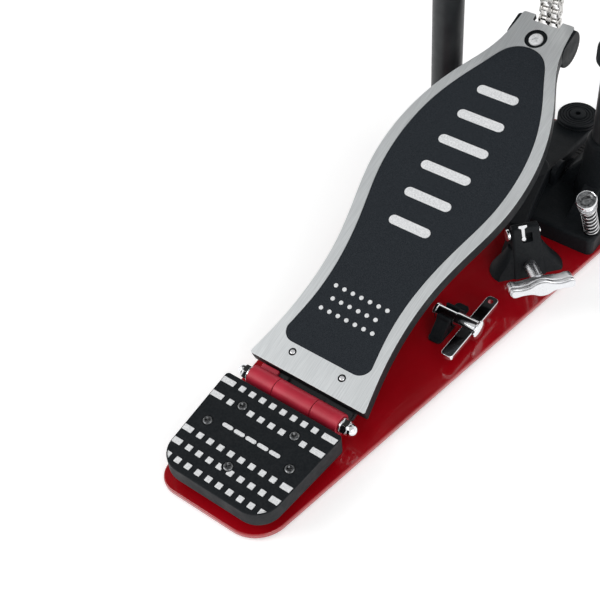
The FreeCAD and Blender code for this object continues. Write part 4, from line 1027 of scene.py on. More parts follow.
def foot_side(inwards, start, stop):
    """Points up the board's right edge between two lengths."""
    step = FOOT_LENGTH / (len(FOOT_HALF_WIDTHS) - 1)
    knots = [(half - inwards, i * step) for i, half in enumerate(FOOT_HALF_WIDTHS)]
    return [p for p in smooth_through(knots) if start - 0.01 <= p.y <= stop + 0.01]


def both_sides(right):
    """A closed outline from its right side, which runs from heel to toe."""
    return list(right) + [V(-p.x, p.y) for p in reversed(right) if p.x > 1e-6]


def foot_outline():
    """The board's plan with small round corners at heel and toe."""
    side = foot_side(0.0, 0, FOOT_LENGTH)
    heel = rounded([(0, 0), (side[0].x, 0), side[1]], [0.01, 1.0, 0.01], 5)[6:12]
    toe = rounded([side[-2], side[-1], (0, FOOT_LENGTH)], [0.01, 1.6, 0.01], 5)[6:12]
    middle = [p for p in side if heel[-1].y + 0.5 < p.y < toe[0].y - 0.5]
    return both_sides(heel + middle + toe)


def insert_outline(inwards):
    """The grip sheet's plan: round corners at the heel, a smooth curve over the toe."""
    mirror = [(-x, s) for x, s in reversed(INSERT_POINTS[:-1])]
    curve = smooth_through(INSERT_POINTS + mirror, 8)
    centre = V(INSERT_POINTS[0][0] - INSERT_CORNER, INSERT_BACK_S + INSERT_CORNER)
    corner_turn = [math.pi / 2 * (k / 9 - 1) for k in range(9)]
    corner = [centre + V(math.cos(a), math.sin(a)) * INSERT_CORNER for a in corner_turn]
    toe = V(0, INSERT_POINTS[-1][1])
    return inset(both_sides(corner + curve[:len(curve) // 2] + [toe]), inwards)


def foot_pocket():
    """The hollow under the board, less its ribs."""
    low = -FOOT_THICK - 2
    pocket = slab(both_sides(foot_side(FOOT_WALL, 25, 233)), -FOOT_THICK - 1, -FOOT_SKIN - RIM_THICK, 0.8)
    long_ribs = [brick(x - 1.2, x + 1.2, 20, 240, low, 0, 0.01) for x in (-12, 12)]
    cross_ribs = [brick(-60, 60, s - 1.2, s + 1.2, low, 0, 0.01) for s in (66, 107, 148, 189)]
    return cut(pocket, *long_ribs, *cross_ribs)


def toe_notch(low, high):
    """The slot at the toe that the chain runs through."""
    corners = [(-NOTCH_HALF, NOTCH_S), (NOTCH_HALF, NOTCH_S), (NOTCH_HALF, 290), (-NOTCH_HALF, 290)]
    return slab(rounded(corners, [1.2, 1.2, 0.01, 0.01], 5), low, high, 0)


def foot_body():
    body = slab(foot_outline(), -FOOT_THICK, -RIM_THICK, 0.15, 0.9)
    cheeks = []
    for side in (1, -1):
        cheek = rod_x(CHEEK_R, side * NOTCH_HALF, side * CHEEK_X, CHEEK_S, CHEEK_H, 0.3, 1.0)
        cheeks.append(cut(cheek, brick(-40, 40, 200, 280, -RIM_THICK - 0.02, 20, 0.01)))
    pin = FOOT.inverted() @ V(0, CHAIN_Y, TOE_PIN_Z)
    reach = NOTCH_HALF + 3.4
    tools = [
        foot_pocket(),
        slab(insert_outline(0.0), -INSERT_DEPTH, 5, 0),
        toe_notch(-40, 5),
        brick(-NOTCH_HALF, NOTCH_HALF, NOTCH_S - 4.5, 270, -40, -FOOT_SKIN + 1.0, 0.01),
        rod_x(TOE_PIN_R + TOE_PIN_SLACK, -reach, reach, pin.y, pin.z, 0),
        rod_z(TOE_RECESS_R, 0, TOE_SCREW_S, TOE_SCREW_H, 3.8, 0),
    ]
    tools += [rod_z(RIVET_RECESS_R, x, RIVET_S, -1.6, 2, 0, segments=48) for x in (-RIVET_X, RIVET_X)]
    return moved(cut(union(body, *cheeks), *tools), FOOT)


def foot_rim():
    """The bright machined face on top of the casting."""
    holes = [slab(insert_outline(0.0), -5, 5, 0), toe_notch(-5, 5),
             rod_z(TOE_RECESS_R, 0, TOE_SCREW_S, -3, 3, 0)]
    holes += [rod_z(RIVET_RECESS_R + 0.05, x, RIVET_S, -3, 3, 0, segments=40) for x in (-RIVET_X, RIVET_X)]
    return moved(cut(slab(foot_outline(), -RIM_THICK, 0.0, 0.12), *holes), FOOT)


def foot_rivets():
    """Rivets through the board and the hinge leaf, with a round tail under the leaf."""
    low = -FOOT_THICK - LEAF_THICK
    rivets = []
    for x in (-RIVET_X, RIVET_X):
        rivets.append(rod_z(RIVET_R, x, RIVET_S, low - 0.4, 0.3, 0.2, 0.6, 40))
        rivets.append(rod_z(RIVET_R * 2, x, RIVET_S, low - 1.4, low, 0.6, 0.1, 40))
    return moved(together(*rivets), FOOT)


def grip_marks():
    """Plain raised bars up the middle of the insert, and rows of dots near the heel."""
    shapes = []
    for k in range(6):
        half = 9.0 + 4.0 * math.sin(math.pi * (k + 0.6) / 6.2)
        shapes.append(pill(half, 2.9, 0, 104 + 19.0 * k))
    for row in range(3):
        last = 6 - row % 2
        shapes += [circle(1.25, (k - last / 2) * 5.6, 40 + 7.5 * row, 28) for k in range(last + 1)]
    marks = [slab(shape, INSERT_PROUD - 0.1, INSERT_PROUD + 0.5, 0.25) for shape in shapes]
    return moved(together(*marks), FOOT)


def toe_screw():
    head = cross_head(4.2, 1.6, 5.0, Matrix.Identity(4), 0.1)
    shank = rod_z(2.3, 0, 0, -TOE_SCREW_H - FOOT_THICK - 2, 0.3)
    return moved(union(head, shank), FOOT @ Matrix.Translation((0, TOE_SCREW_S, TOE_SCREW_H)))


def make_footboard():
    piece("footboard_casting", foot_body(), "footboard", "black_casting", "footboard")
    piece("footboard_rim", foot_rim(), "footboard", "silver_rim")
    sheet = moved(slab(insert_outline(0.15), -INSERT_DEPTH, INSERT_PROUD, 0.3), FOOT)
    piece("footboard_grip_sheet", sheet, "footboard", "black_insert", "footboard_insert")
    piece("footboard_grip_marks", grip_marks(), "footboard", "light_grip", "insert_grip_marks")
    piece("footboard_rivet_heads", foot_rivets(), "footboard", "steel", "footboard_rivets", look="chrome")
    piece("toe_screw_head", toe_screw(), "footboard", "light_grip", "toe_screw")


# ---------------------------------------------------------------- pedestal and posts

def tower(side):
    """A flared socket for a post, standing in the pedestal's floor."""
    radius, top = TOWERS[side]
    height = top - PED_TOP + 2
    profile = [(0, radius + 4.2), (3.0, radius + 4.0), (height * 0.25, radius + 2.4),
               (height * 0.5, radius + 1.4), (height * 0.72, radius + 0.8)]
    profile += [(height - 2.5 * (1 - math.sin(a)), radius - 2.5 * (1 - math.cos(a))) for a in quarter(5)]
    return turned(profile, V(side * POST_X, POST_Y, PED_TOP - 2), Z, segments=96)


def tower_web(side):
    """The sloping wall from a tower towards the pedestal's middle."""
    plan = [V(30, PED_TOP - 2), V(POST_X, PED_TOP - 2), V(POST_X, WEB_TOP), V(44, WEB_TOP), V(38, 32),
            V(31, 20)]
    web = shifted(moved(slab(plan, -15, 7, 2.0, 2.0), FORWARD), 0, POST_Y, 0)
    return web if side > 0 else mirrored(web)


def tower_rib(side):
    """The thin wedge behind a tower."""
    plan = [V(PED_BACK_Y + 5, PED_TOP - 2), V(POST_Y, PED_TOP - 2), V(POST_Y, WEB_TOP - 4)]
    return shifted(across(plan, -5, 5, 0.8), RIB_X[side], 0, 0)


def pivot_ear(x0):
    """One of the two ears that carry the clamp arm's pivot bar."""
    y0, y1 = CLAMP_PIVOT_Y - 7, CLAMP_PIVOT_Y + 7
    z0, z1 = PED_TOP - 2, CLAMP_PIVOT_Z + 6
    plan = rounded([(y0, z0), (y1, z0), (y1, z1), (y0, z1)], [0.01, 0.01, 5.0, 5.0], 8)
    return across(plan, x0, x0 + 3.0, 0.3)


def pivot_rod(radius, half, edge=0.0):
    return rod_x(radius, ARM_X - half, ARM_X + half, CLAMP_PIVOT_Y, CLAMP_PIVOT_Z, edge)


def set_screw_bore(x, z, end_y):
    """The hole in front of a post for a screw that bears on it."""
    return rod(SET_SCREW_R, V(x, POST_Y + POST_R - 0.5, z), V(x, end_y, z), 0)


def pedestal():
    plan = rounded([(-PED_HALF, PED_BACK_Y), (PED_HALF, PED_BACK_Y), (PED_HALF, PED_FRONT_Y),
                    (-PED_HALF, PED_FRONT_Y)], [4.0, 4.0, 12.0, 12.0], 10)
    body = slab(plan, BASE_TOP, PED_TOP, 2.0, 0.3, 5)
    added = [make(side) for side in SIDES.values() for make in (tower, tower_web, tower_rib)]
    added += [pivot_ear(ARM_X - 16.0), pivot_ear(ARM_X + 13.0)]
    tools = spur_holes(SPUR_R + 0.05)
    # the channel that the clamp arm lies in, wider in front of the ears
    for left, right, back in ((13.0, 13.0, -4), (14.0, 16.0, 8)):
        tools.append(brick(ARM_X - left, ARM_X + right, CLAMP_PIVOT_Y + back, PED_FRONT_Y + 2,
                           PED_TOP - 4, 40, 0.01))
    for side in SIDES.values():
        x = side * POST_X
        tools.append(spur_rod(side, 5.8, 0, 10, 0))
        tools.append(rod_z(POST_R, x, POST_Y, POST_FOOT_Z, 80, 0, segments=96))
        tools += [set_screw_bore(x, z, POST_Y + 40) for z in POST_SCREW_Z]
    return cut(union(body, *added), *tools, pivot_rod(PIVOT_BORE_R, PIVOT_HALF))


def make_pedestal():
    piece("pedestal_body", pedestal(), "root", "black_casting", "pedestal_casting")
    for word, side in SIDES.items():
        foot, top = (V(side * POST_X, POST_Y, z) for z in (POST_FOOT_Z, POST_TOP_Z))
        post = tube(POST_R, POST_BORE_R, foot, top, 0.4, 120)
        piece(word + "_post_tube", post, "root", "black_steel", word + "_post")
    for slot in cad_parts["post_set_screws"].material_slots:
        slot.material = MATERIALS["black_steel"]


# ---------------------------------------------------------------- shaft, housings and bearings

def shaft_at(x=0.0):
    return V(x, POST_Y, SHAFT_Z)


def shaft_rod(radius, x0, x1, edge=0.3):
    return rod(radius, shaft_at(x0), shaft_at(x1), edge, segments=96)


def around_shaft(angle, radius, x=0.0):
    """A point at radius from the shaft, angle degrees up from straight ahead."""
    a = deg(angle)
    return V(x, POST_Y + radius * math.cos(a), SHAFT_Z + radius * math.sin(a))


def on_shaft(outline, x0, x1, edge):
    """A slab across the shaft, whose plan is drawn in (y, z) about the shaft."""
    return moved(slab(outline, x0, x1, edge, edge), Matrix.Translation(shaft_at()) @ ACROSS)


def hex_on_shaft(x0, x1, edge=0.3):
    return on_shaft(polygon(6, HEX_FLATS, 30), x0, x1, edge)


def grub_bore(angle, x):
    return rod(GRUB_R, around_shaft(angle, 4, x), around_shaft(angle, 30, x), 0)


def housing(side):
    """A bearing housing whose collar slides over a post's top."""
    x = side * POST_X
    barrel = shaft_rod(15.0, x - 11, x + 11, 1.5)
    collar = rod_z(13.0, x, POST_Y, SHAFT_Z - 32, SHAFT_Z - 2, 1.5, 0)
    ring = rod_z(13.8, x, POST_Y, SHAFT_Z - 30, SHAFT_Z - 25.5, 1.0)
    return cut(union(barrel, collar, ring), shaft_rod(11.0, x - 20, x + 20, 0),
               rod_z(POST_R, x, POST_Y, 100, POST_TOP_Z, 0, segments=96),
               set_screw_bore(x, SHAFT_Z - 22, POST_Y + 39))


def bearing(side):
    """A ball bearing's rings with a sunk shield between them on both faces."""
    half = 9.5
    profile = [(-half, 5.05), (-half, 6.7), (-half + 0.7, 6.9), (-half + 0.7, 9.3), (-half, 9.5),
               (-half, 10.8), (-half + 0.3, 11.0)]
    profile += [(-t, r) for t, r in reversed(profile)]
    return turned(profile, shaft_at(side * POST_X), X, looped=True, segments=96)


def make_shaft():
    for word, side in SIDES.items():
        piece(word + "_housing_casting", housing(side), "root", "black_casting", word + "_bearing_housing")
    piece("bearings", together(bearing(-1), bearing(1)), "root", "steel", "shaft_bearings")
    shaft = union(shaft_rod(SHAFT_R, -69, 83, 0.8), hex_on_shaft(-40, 40))
    piece("drive_hex_shaft", shaft, "drive_shaft", "steel", "hex_shaft")


# ---------------------------------------------------------------- sprocket and chain

def tooth_outline():
    """The sprocket's outline in (y, z) about the shaft: roller seats and blunt tips."""
    step = 2 * math.pi / TEETH
    seat_r = ROLLER_R + 0.15
    outline = []
    for k in range(TEETH):
        a = k * step
        out = V(math.cos(a), math.sin(a))
        along = V(-math.sin(a), math.cos(a))
        for j in range(9):
            t = math.pi * (j / 8 - 0.5) * 0.86
            outline.append(out * (PITCH_R - seat_r * math.cos(t)) + along * (seat_r * math.sin(t)))
        for tip in (-0.55, 0.55):
            t = a + step / 2 + tip / PITCH_R
            outline.append(V(math.cos(t), math.sin(t)) * (PITCH_R + 1.9))
    return outline


def sprocket_body():
    rings = [on_shaft(tooth_outline(), x - 1.3, x + 1.3, 0.35) for x in (-STRAND_X, STRAND_X)]
    return cut(union(shaft_rod(13.0, -10, 10, 0.8), *rings), hex_on_shaft(-20, 20, 0),
               grub_bore(SPROCKET_GRUB_ANGLE, SPROCKET_GRUB_X))


def plate_outline():
    """A waisted chain plate between pins at 0 and one pitch."""
    end_r = 2.75
    waist = 1.95
    half = CHAIN_PITCH / 2
    end = [deg(-122 + 244 * k / 12) for k in range(13)]
    right = [V(CHAIN_PITCH + end_r * math.cos(a), end_r * math.sin(a)) for a in end]
    right += [V(half + 0.8, waist + 0.08), V(half, waist), V(half - 0.8, waist + 0.08)]
    return right + [V(CHAIN_PITCH - p.x, -p.y) for p in right]


def chain_link(outer, pins=2):
    """One duplex link drawn from the origin along +y, plates across x.

    pins is how many of its two rows of pins or rollers come with it.
    """
    plate_x, thick = (2.8, 0.6) if outer else (2.0, 0.7)
    shells = []
    for strand in (-STRAND_X, STRAND_X):
        for x in (strand - plate_x, strand + plate_x):
            shells.append(across(plate_outline(), x - thick / 2, x + thick / 2, 0.14, 2))
    for y in (0, CHAIN_PITCH)[:pins]:
        if outer:
            shells.append(rod_x(CHAIN_PIN_R, -6.8, 6.8, y, 0, 0.35, segments=24))
        else:
            for x in (-STRAND_X, STRAND_X):
                shells.append(rod_x(ROLLER_R, x - 1.75, x + 1.75, y, 0, 0.12, segments=32))
    return union(*shells)


def laid(link, a, b):
    """A copy of a link put between two pins."""
    along = (b - a).normalized()
    return moved(link.copy(), basis(a, X, along, X.cross(along)))


def wrap_point(k):
    return around_shaft(k * 360.0 / TEETH, PITCH_R)


def make_chain():
    inner = chain_link(False)
    outer = chain_link(True)
    last = chain_link(True, pins=1)
    wrapped = [laid(outer if k % 2 else inner, wrap_point(FREE_LINKS + k), wrap_point(FREE_LINKS + k + 1))
               for k in range(WRAPPED_LINKS)]
    piece("chain_on_sprocket", together(*wrapped), "drive_shaft", "nickel_chain", "chain_wrapped")
    for k in range(1, FREE_LINKS + 1):
        link = laid(outer if k % 2 else inner, wrap_point(k), wrap_point(k - 1))
        piece("chain_free_link_%d" % k, link, "chain_link_%d" % k, "nickel_chain", "chain_link_%d" % k)
    kinds = [inner, outer] * (RUN_LINKS // 2 - 1) + [inner, last]
    tops = [V(0, CHAIN_Y, SHAFT_Z - j * CHAIN_PITCH) for j in range(RUN_LINKS)]
    run = [laid(kind, top, top - Z * CHAIN_PITCH) for kind, top in zip(kinds, tops)]
    piece("chain_straight_run", together(*run), "chain_run", "nickel_chain", "chain_run")
    half = NOTCH_HALF + 2.6
    bolt = rod_x(TOE_PIN_R, -half, half, CHAIN_Y, TOE_PIN_Z, 0.3, segments=40)
    piece("chain_toe_bolt", bolt, "chain_run", "steel", "chain_toe_pin")
    piece("sprocket_wheel", sprocket_body(), "drive_shaft", "nickel_chain", "sprocket")


# ---------------------------------------------------------------- beater

def beater_axes():
    """The rod's direction, the strike direction and a point level with the shaft."""
    a = deg(BEATER_LEAN)
    along = V(0, -math.sin(a), math.cos(a))
    strike = V(0, math.cos(a), math.sin(a))
    return along, strike, shaft_at(BEATER_X) + strike * ROD_OFFSET


def hub_body():
    """The hub on the hex shaft, with a boss for the beater rod and one for its screw."""
    along, strike, base = beater_axes()
    drum = shaft_rod(12.5, BEATER_X - 7, BEATER_X + 7, 0.8)
    boss = rod(8.5, base - along * 12, base + along * 12, 0.8)
    screw_boss = rod(5.5, base, base + strike * 12, 0, 0.6)
    rod_bore = rod(ROD_BORE_R, base - along * 30, base + along * 30, 0)
    return cut(union(drum, boss, screw_boss), hex_on_shaft(-60, 20, 0), rod_bore,
               grub_bore(HUB_GRUB_ANGLE, BEATER_X))


def clamp_bolt():
    """The square-head screw that grips the rod, worked with the drum key."""
    strike, base = beater_axes()[1:]
    shank = rod(2.6, base + strike * (ROD_R + 0.4), base + strike * 14, 0.2)
    flange = rod(4.4, base + strike * 12.02, base + strike * 13.6, 0.3)
    square = brick(-2.9, 2.9, -2.9, 2.9, 13.0, 21.6, 0.5)
    return union(shank, flange, moved(square, standing_on(base, strike, X)))


def grub_screw(x, angle, end):
    """A grub screw from just outside the hexagon to end, with a hexagon socket."""
    top = around_shaft(angle, end, x)
    out = (around_shaft(angle, 10, x) - shaft_at(x)).normalized()
    screw = rod(GRUB_R, around_shaft(angle, 6.4, x), top, 0.2, segments=36)
    return cut(screw, moved(slab(polygon(6, 2.0), -1.6, 3.0, 0), standing_on(top, out)))


def beater_body():
    """The waisted core between the beater's two faces."""
    along, strike, base = beater_axes()
    centre = base + along * HEAD_T
    waist = turned([(-12, 15.0), (-9, 13.2), (-5, 12.2), (0, 11.9), (5, 12.2), (9, 13.6), (12, 16.0)],
                   centre, strike, segments=96)
    front = rod(19.0, centre + strike * 8, centre + strike * 12, 1.0, 0.3, 96)
    back = rod(17.0, centre - strike * 12, centre - strike * 8, 0.3, 1.0, 96)
    boss = rod(7.5, centre - along * 16, centre, 1.2, 0)
    rod_bore = rod(ROD_BORE_R, centre - along * 40, centre + along * 40, 0)
    return cut(union(waist, front, back, boss), rod_bore)


def crowned_disc(radius, start, end, edge, crown, rim=0.3):
    """A disc with a big soft edge and a slightly domed far face."""
    length = (end - start).length
    profile = [(0, radius - rim), (rim, radius)]
    for a in quarter(12):
        profile.append((length - crown - edge * (1 - math.sin(a)), radius - edge * (1 - math.cos(a))))
    for k in range(1, 9):
        r = (radius - edge) * (1 - k / 8)
        profile.append((length - crown * (r / (radius - edge)) ** 2, r))
    return turned(profile, start, end - start, segments=96)


def beater_collar():
    """The ring under the head that its grub screw locks to the rod."""
    along, strike, base = beater_axes()
    start = base + along * (HEAD_T - 16 - GAP - 7)
    middle = start + along * 3.5
    rod_bore = rod(ROD_BORE_R, start - along * 5, start + along * 12, 0)
    screw_bore = rod(1.6, middle, middle + strike * 12, 0, segments=30)
    return cut(rod(7.0, start, start + along * 7, 0.6), rod_bore, screw_bore)


def make_beater():
    along, strike, base = beater_axes()
    centre = base + along * HEAD_T
    piece("beater_hub_casting", hub_body(), "drive_shaft", "chrome", "beater_hub")
    screws = together(clamp_bolt(), grub_screw(BEATER_X, HUB_GRUB_ANGLE, 12.6),
                      grub_screw(SPROCKET_GRUB_X, SPROCKET_GRUB_ANGLE, 12.9))
    piece("drive_screws", screws, "drive_shaft", "steel", "drive_set_screws")
    shaft = rod(ROD_R, base + along * ROD_LOW, base + along * ROD_HIGH, 1.0, 0.6)
    piece("beater_shaft_rod", shaft, "beater_rod", "chrome", "beater_rod")
    piece("beater_yoke", beater_body(), "beater_head", "black_plastic", "beater_core")
    front = crowned_disc(24.0, centre + strike * 12, centre + strike * 27, 6.0, 1.4, 1.0)
    piece("beater_felt_face", front, "beater_head", "felt", "beater_felt")
    back = crowned_disc(22.0, centre - strike * 12, centre - strike * 24, 4.0, 1.0)
    piece("beater_plastic_face", back, "beater_head", "grey_plastic", "beater_face")
    piece("beater_lock_collar", beater_collar(), "beater_rod", "steel", "beater_nut")


# ---------------------------------------------------------------- return spring

def rocker_pin_at(x=0.0):
    return around_shaft(180 + ROCKER_DROP, ROCKER_ARM, x)


def rocker_rod(radius, x0, x1, edge=0.3):
    return rod(radius, rocker_pin_at(x0), rocker_pin_at(x1), edge)


def spring_rod(radius, z0, z1, edge=0.3):
    """A rod on the return spring's upright axis."""
    return rod_z(radius, SPRING_X, rocker_pin_at().y, z0, z1, edge)


def rocker_body():
    """The tapering arm on the shaft that pulls the return spring."""
    centre = shaft_at()
    out = (rocker_pin_at() - centre).normalized()
    plan = [V(0, -7.5), V(ROCKER_ARM, -4.6), V(ROCKER_ARM, 4.6), V(0, 7.5)]
    web = moved(slab(plan, ROCKER_X - 3, ROCKER_X + 3, 0.6, 0.6), basis(centre, out, X.cross(out), X))
    hub = shaft_rod(10.0, ROCKER_X - 4.5, ROCKER_X + 4.5, 0.8)
    end = rocker_rod(5.5, ROCKER_X - 3, ROCKER_X + 3, 0.6)
    return cut(union(hub, end, web), shaft_rod(SHAFT_R, 40, 100, 0), rocker_rod(ROCKER_PIN_R, 40, 100, 0))


def rocker_pin():
    stem = rocker_rod(ROCKER_PIN_R, ROCKER_X - 3, SPRING_X + 3.5)
    return union(stem, rocker_rod(3.6, SPRING_X + 2.2, SPRING_X + 3.5))


def top_hook():
    """A square ring round the rocker's pin, with a stem and a plug in the coil."""
    y = rocker_pin_at().y
    top = rocker_pin_at().z + ROCKER_PIN_R + GAP
    outline = rectangle(y - 7.6, y + 7.6, top - 8.6, top + 2.4, 2.5, 6)
    window = rectangle(y - 5.2, y + 5.2, top - 6.2, top, 1.0, 5)
    ring = cut(across(outline, SPRING_X - 1.2, SPRING_X + 1.2, 0.4),
               across(window, SPRING_X - 5, SPRING_X + 5))
    return union(ring, spring_rod(2.6, SPRING_TOP_Z - 4, top - 6.4, 0),
                 spring_rod(5.0, SPRING_TOP_Z - 6, SPRING_TOP_Z - 1, 0.6))


def bracket_body():
    """A split collar on the right post with an arm that holds the tension rod."""
    y = rocker_pin_at().y
    collar = rod_z(13.5, POST_X, POST_Y, BRACKET_Z, BRACKET_Z + 9, 1.0)
    pad = spring_rod(7.5, BRACKET_Z + 1, BRACKET_Z + 8, 0.8)
    plan = [V(POST_X + 4, POST_Y - 12), V(SPRING_X - 3, y - 6), V(SPRING_X + 4, y + 5),
            V(POST_X + 12, POST_Y - 2)]
    arm = slab(plan, BRACKET_Z + 1, BRACKET_Z + 8, 0.8, 0.8)
    split = brick(POST_X - 1, POST_X + 1, POST_Y + 5, POST_Y + 20, BRACKET_Z - 5, BRACKET_Z + 20, 0.01)
    return cut(union(collar, pad, arm), split, rod_z(POST_R, POST_X, POST_Y, 50, 150, 0, segments=96),
               spring_rod(TENSION_R, 50, 150, 0))


def tension_rod():
    """The threaded rod through the bracket, with a flange and a plug in the coil."""
    foot = V(SPRING_X, rocker_pin_at().y, 0)
    stem = threaded(TENSION_R, 0.35, 1.0, foot + Z * (BRACKET_Z - 14), foot + Z * (SPRING_LOW_Z - 3))
    plug = spring_rod(5.0, SPRING_LOW_Z + 1, SPRING_LOW_Z + 6, 0.6)
    flange = spring_rod(6.6, SPRING_LOW_Z - 4, SPRING_LOW_Z, 0.5)
    neck = spring_rod(4.0, SPRING_LOW_Z - 1, SPRING_LOW_Z + 2, 0)
    return union(stem, flange, neck, plug)


def thumb_nut():
    top = BRACKET_Z + 1 - GAP
    nut = shifted(slab(fluted(7.5, 0.9, 10), top - 8, top, 0.6, 0.6), SPRING_X, rocker_pin_at().y, 0)
    return cut(nut, spring_rod(TENSION_R + 0.05, 60, 150, 0))


def make_return_spring():
    piece("rocker_cam", rocker_body(), "drive_shaft", "black_casting", "spring_rocker")
    piece("rocker_cross_pin", rocker_pin(), "drive_shaft", "chrome", "rocker_pin")
    piece("spring_stirrup", top_hook(), "spring_hook", "chrome", "spring_top_hook")
    foot = V(SPRING_X, rocker_pin_at().y, 0)
    wire = coil(6.25, 1.9, foot + Z * SPRING_LOW_Z, foot + Z * SPRING_TOP_Z, 14)
    spring = piece("return_spring_coil", wire, None, "spring_steel", "return_spring")
    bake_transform(spring)
    piece("spring_bracket_arm", bracket_body(), "root", "black_casting", "spring_bracket")
    piece("spring_tension_screw", tension_rod(), "root", "steel", "spring_tension_rod")
    piece("spring_thumb_nut", thumb_nut(), "tension_nut", "chrome", "spring_tension_nut")


# ---------------------------------------------------------------- toe clamp

def arm_disc():
    """The arm's round front end: a ringed cap on two stepped ledges, with a boss and a hole."""
    top = ARM_TOP - ARM_LOW
    profile = [(0, 12.0), (0.5, 12.6), (4.0, 12.6), (4.5, 12.1), (4.6, 11.2), (5.5, 11.2), (5.6, 12.1),
               (6.0, 12.55), (7.0, 12.55), (7.3, 12.1), (7.4, 11.4), (7.9, 11.4), (8.0, 12.1), (8.4, 12.5),
               (top - 0.6, 12.5), (top, 11.9)]
    for inner, outer in ((10.7, 11.3), (8.9, 9.5), (7.0, 7.7)):
        profile += [(top, outer), (top - 0.7, outer - 0.15), (top - 0.7, inner + 0.15), (top, inner)]
    profile += [(top, 5.9), (top - 0.6, 5.6), (top - 0.6, 5.3), (top + 0.5, 5.0), (top + 0.7, 4.6),
                (top + 0.7, 0)]
    return turned(profile, V(CLAMP_FOOT_X, CLAMP_FOOT_Y, ARM_LOW), Z, segments=120)


def sloped_bar(a, b, half_a, half_b, low, high_a, high_b, edge=1.6):
    """A tapering bar with round ends whose top slopes from a to b."""
    along = (b - a).normalized()
    side = along.cross(Z)
    outline = []
    for centre, half, start in ((b, half_b, -90), (a, half_a, 90)):
        for t in (deg(start + 15 * k) for k in range(13)):
            outline.append((centre + (along * math.cos(t) - side * math.sin(t)) * half).to_2d())
    rings = [level(outline, low)]
    for t in quarter(4):
        top = []
        for p in inset(outline, edge * (1 - math.cos(t))):
            share = max(0.0, min(1.0, (p.to_3d() - a).dot(along) / (b - a).length))
            top.append(V(p.x, p.y, high_a + (high_b - high_a) * share - edge * (1 - math.sin(t))))
        rings.append(top)
    return loft(rings)


def slope_line(end, lift):
    """The wedge's top in (y, z) from its low end to the front, raised by lift."""
    flat = 1.3
    fall = (end - flat) * math.tan(deg(WEDGE_SLOPE))
    return [V(end, WEDGE_TOP + lift - fall), V(flat, WEDGE_TOP + lift), V(-20, WEDGE_TOP + lift)]


def foot_rod(radius, z0, z1, edge=0.3, end_edge=None, segments=72):
    """A rod on the axis of the arm's foot."""
    return rod_z(radius, CLAMP_FOOT_X, CLAMP_FOOT_Y, z0, z1, edge, end_edge, segments)


def arm_body():
    """The clamp arm: ringed end, two tapering bars, and a tail that rests on the wedge."""
    front = V(CLAMP_FOOT_X, CLAMP_FOOT_Y, 0)
    bend = V(ARM_X, CLAMP_BEND_Y, 0)
    entry, tip = ((BLOCK @ V(0, y, 0)).to_2d().to_3d() for y in (19.0, 12.1))
    shape = union(sloped_bar(front, bend, 12.0, 12.2, ARM_LOW, ARM_TOP - 5.6, ARM_TOP - 1.2), arm_disc(),
                  sloped_bar(bend, entry, 12.2, 6.5, ARM_LOW, ARM_TOP - 1.2, ARM_TOP - 3.0),
                  sloped_bar(entry, tip, 3.8, 3.8, ARM_LOW - 3.5, ARM_TOP - 5.0, ARM_TOP - 5.6, 0.8))
    over_wedge = slab([V(16.0, -20), *slope_line(16.0, GAP), V(-20, -20)], -6, 6, 0)
    bolt_bore = foot_rod(1.75, ARM_LOW - 1, ARM_LOW + 29, 0, segments=36)
    foot_hollow = foot_rod(9.0, ARM_LOW - 1, ARM_LOW + 3, 0)
    return cut(shape, moved(over_wedge, BLOCK @ ACROSS), foot_hollow, bolt_bore, pivot_rod(PIVOT_BORE_R, 40))


def face_y(z):
    """How far the leaning front face is back at a height above the base plate."""
    return FACE_Y + z * math.tan(deg(FACE_LEAN))


def skirt(side):
    """The bell-shaped shoulder of the clamp block, flat in front like the ridge but set back."""
    height = 15
    rings = []
    for z, r in ((0, 11.6), (0.8, 11.6), (1.6, 11.3), (3.4, 10.2), (5.4, 8.8), (7.4, 7.4), (9.4, 6.0),
                 (11.4, 4.8), (13.4, 3.8), (height, 3.0)):
        share = z / height
        rings.append(ring_at(V(side * (10 - 2.5 * share), -2.6 + 4.4 * share, z), X, Y, r, 72))
    behind = [V(face_y(0) + 0.4, -1), V(40, -1), V(40, 30), V(face_y(30) + 0.4, 30)]
    return common(loft(rings), across(behind, -40, 40))


def ridge():
    """The block's leaning ridge, wider at its foot, with soft edges."""
    crown = 1.4
    levels = [(z, 0.0) for z in (0.0, 4.0, 9.0, 14.0, 19.0, BLOCK_H - crown)]
    for a in (deg(angle) for angle in (22, 45, 67, 90)):
        levels.append((BLOCK_H - crown * (1 - math.sin(a)), crown * (1 - math.cos(a))))
    rings = []
    for z, drawn in levels:
        share = z / BLOCK_H
        half = BLOCK_HALF + (BLOCK_TOP_HALF - BLOCK_HALF) * share
        rear = BLOCK_REAR_Y - 6.0 * share
        front = face_y(z)
        plan = rounded([(-half, front), (half, front), (half, rear), (-half, rear)], [1.7, 1.7, 1.0, 1.0], 6)
        rings.append(level(inset(plan, drawn), z))
    return loft(rings)


def block_body():
    """A ridged housing that holds the wedge, the screw and the arm's tail."""
    tools = [
        brick(-4.2, 4.2, 7.8, 40, WEDGE_TOP - 3.0, BLOCK_H + 5, 0.01),
        brick(-2.6, 3.4, -7, 3.2, 18.6, 23.6, 0.3),
        brick(-5.2, 5.2, 0.0, 40, WEDGE_LOW - 0.4, WEDGE_TOP + 1.0, 0.01),
        rod_x(CROSS_PIN_R, -30, 30, *CROSS_PIN, 0),
        rod_x(CROSS_PIN_HEAD_R + 0.3, -30, -8.9, *CROSS_PIN, 0),
    ]
    body = moved(cut(union(ridge(), skirt(1), skirt(-1)), *tools), BLOCK)
    return cut(body, moved(rod(SCREW_R, V(0, SCREW_INSIDE, 0), V(0, -30, 0), 0), SCREW))


def block_pin():
    head = rod_x(CROSS_PIN_HEAD_R, -10.6, -8.9, *CROSS_PIN, 0.5, 0.3)
    return moved(union(rod_x(CROSS_PIN_R, -9.0, 9.6, *CROSS_PIN, 0.4), head), BLOCK)


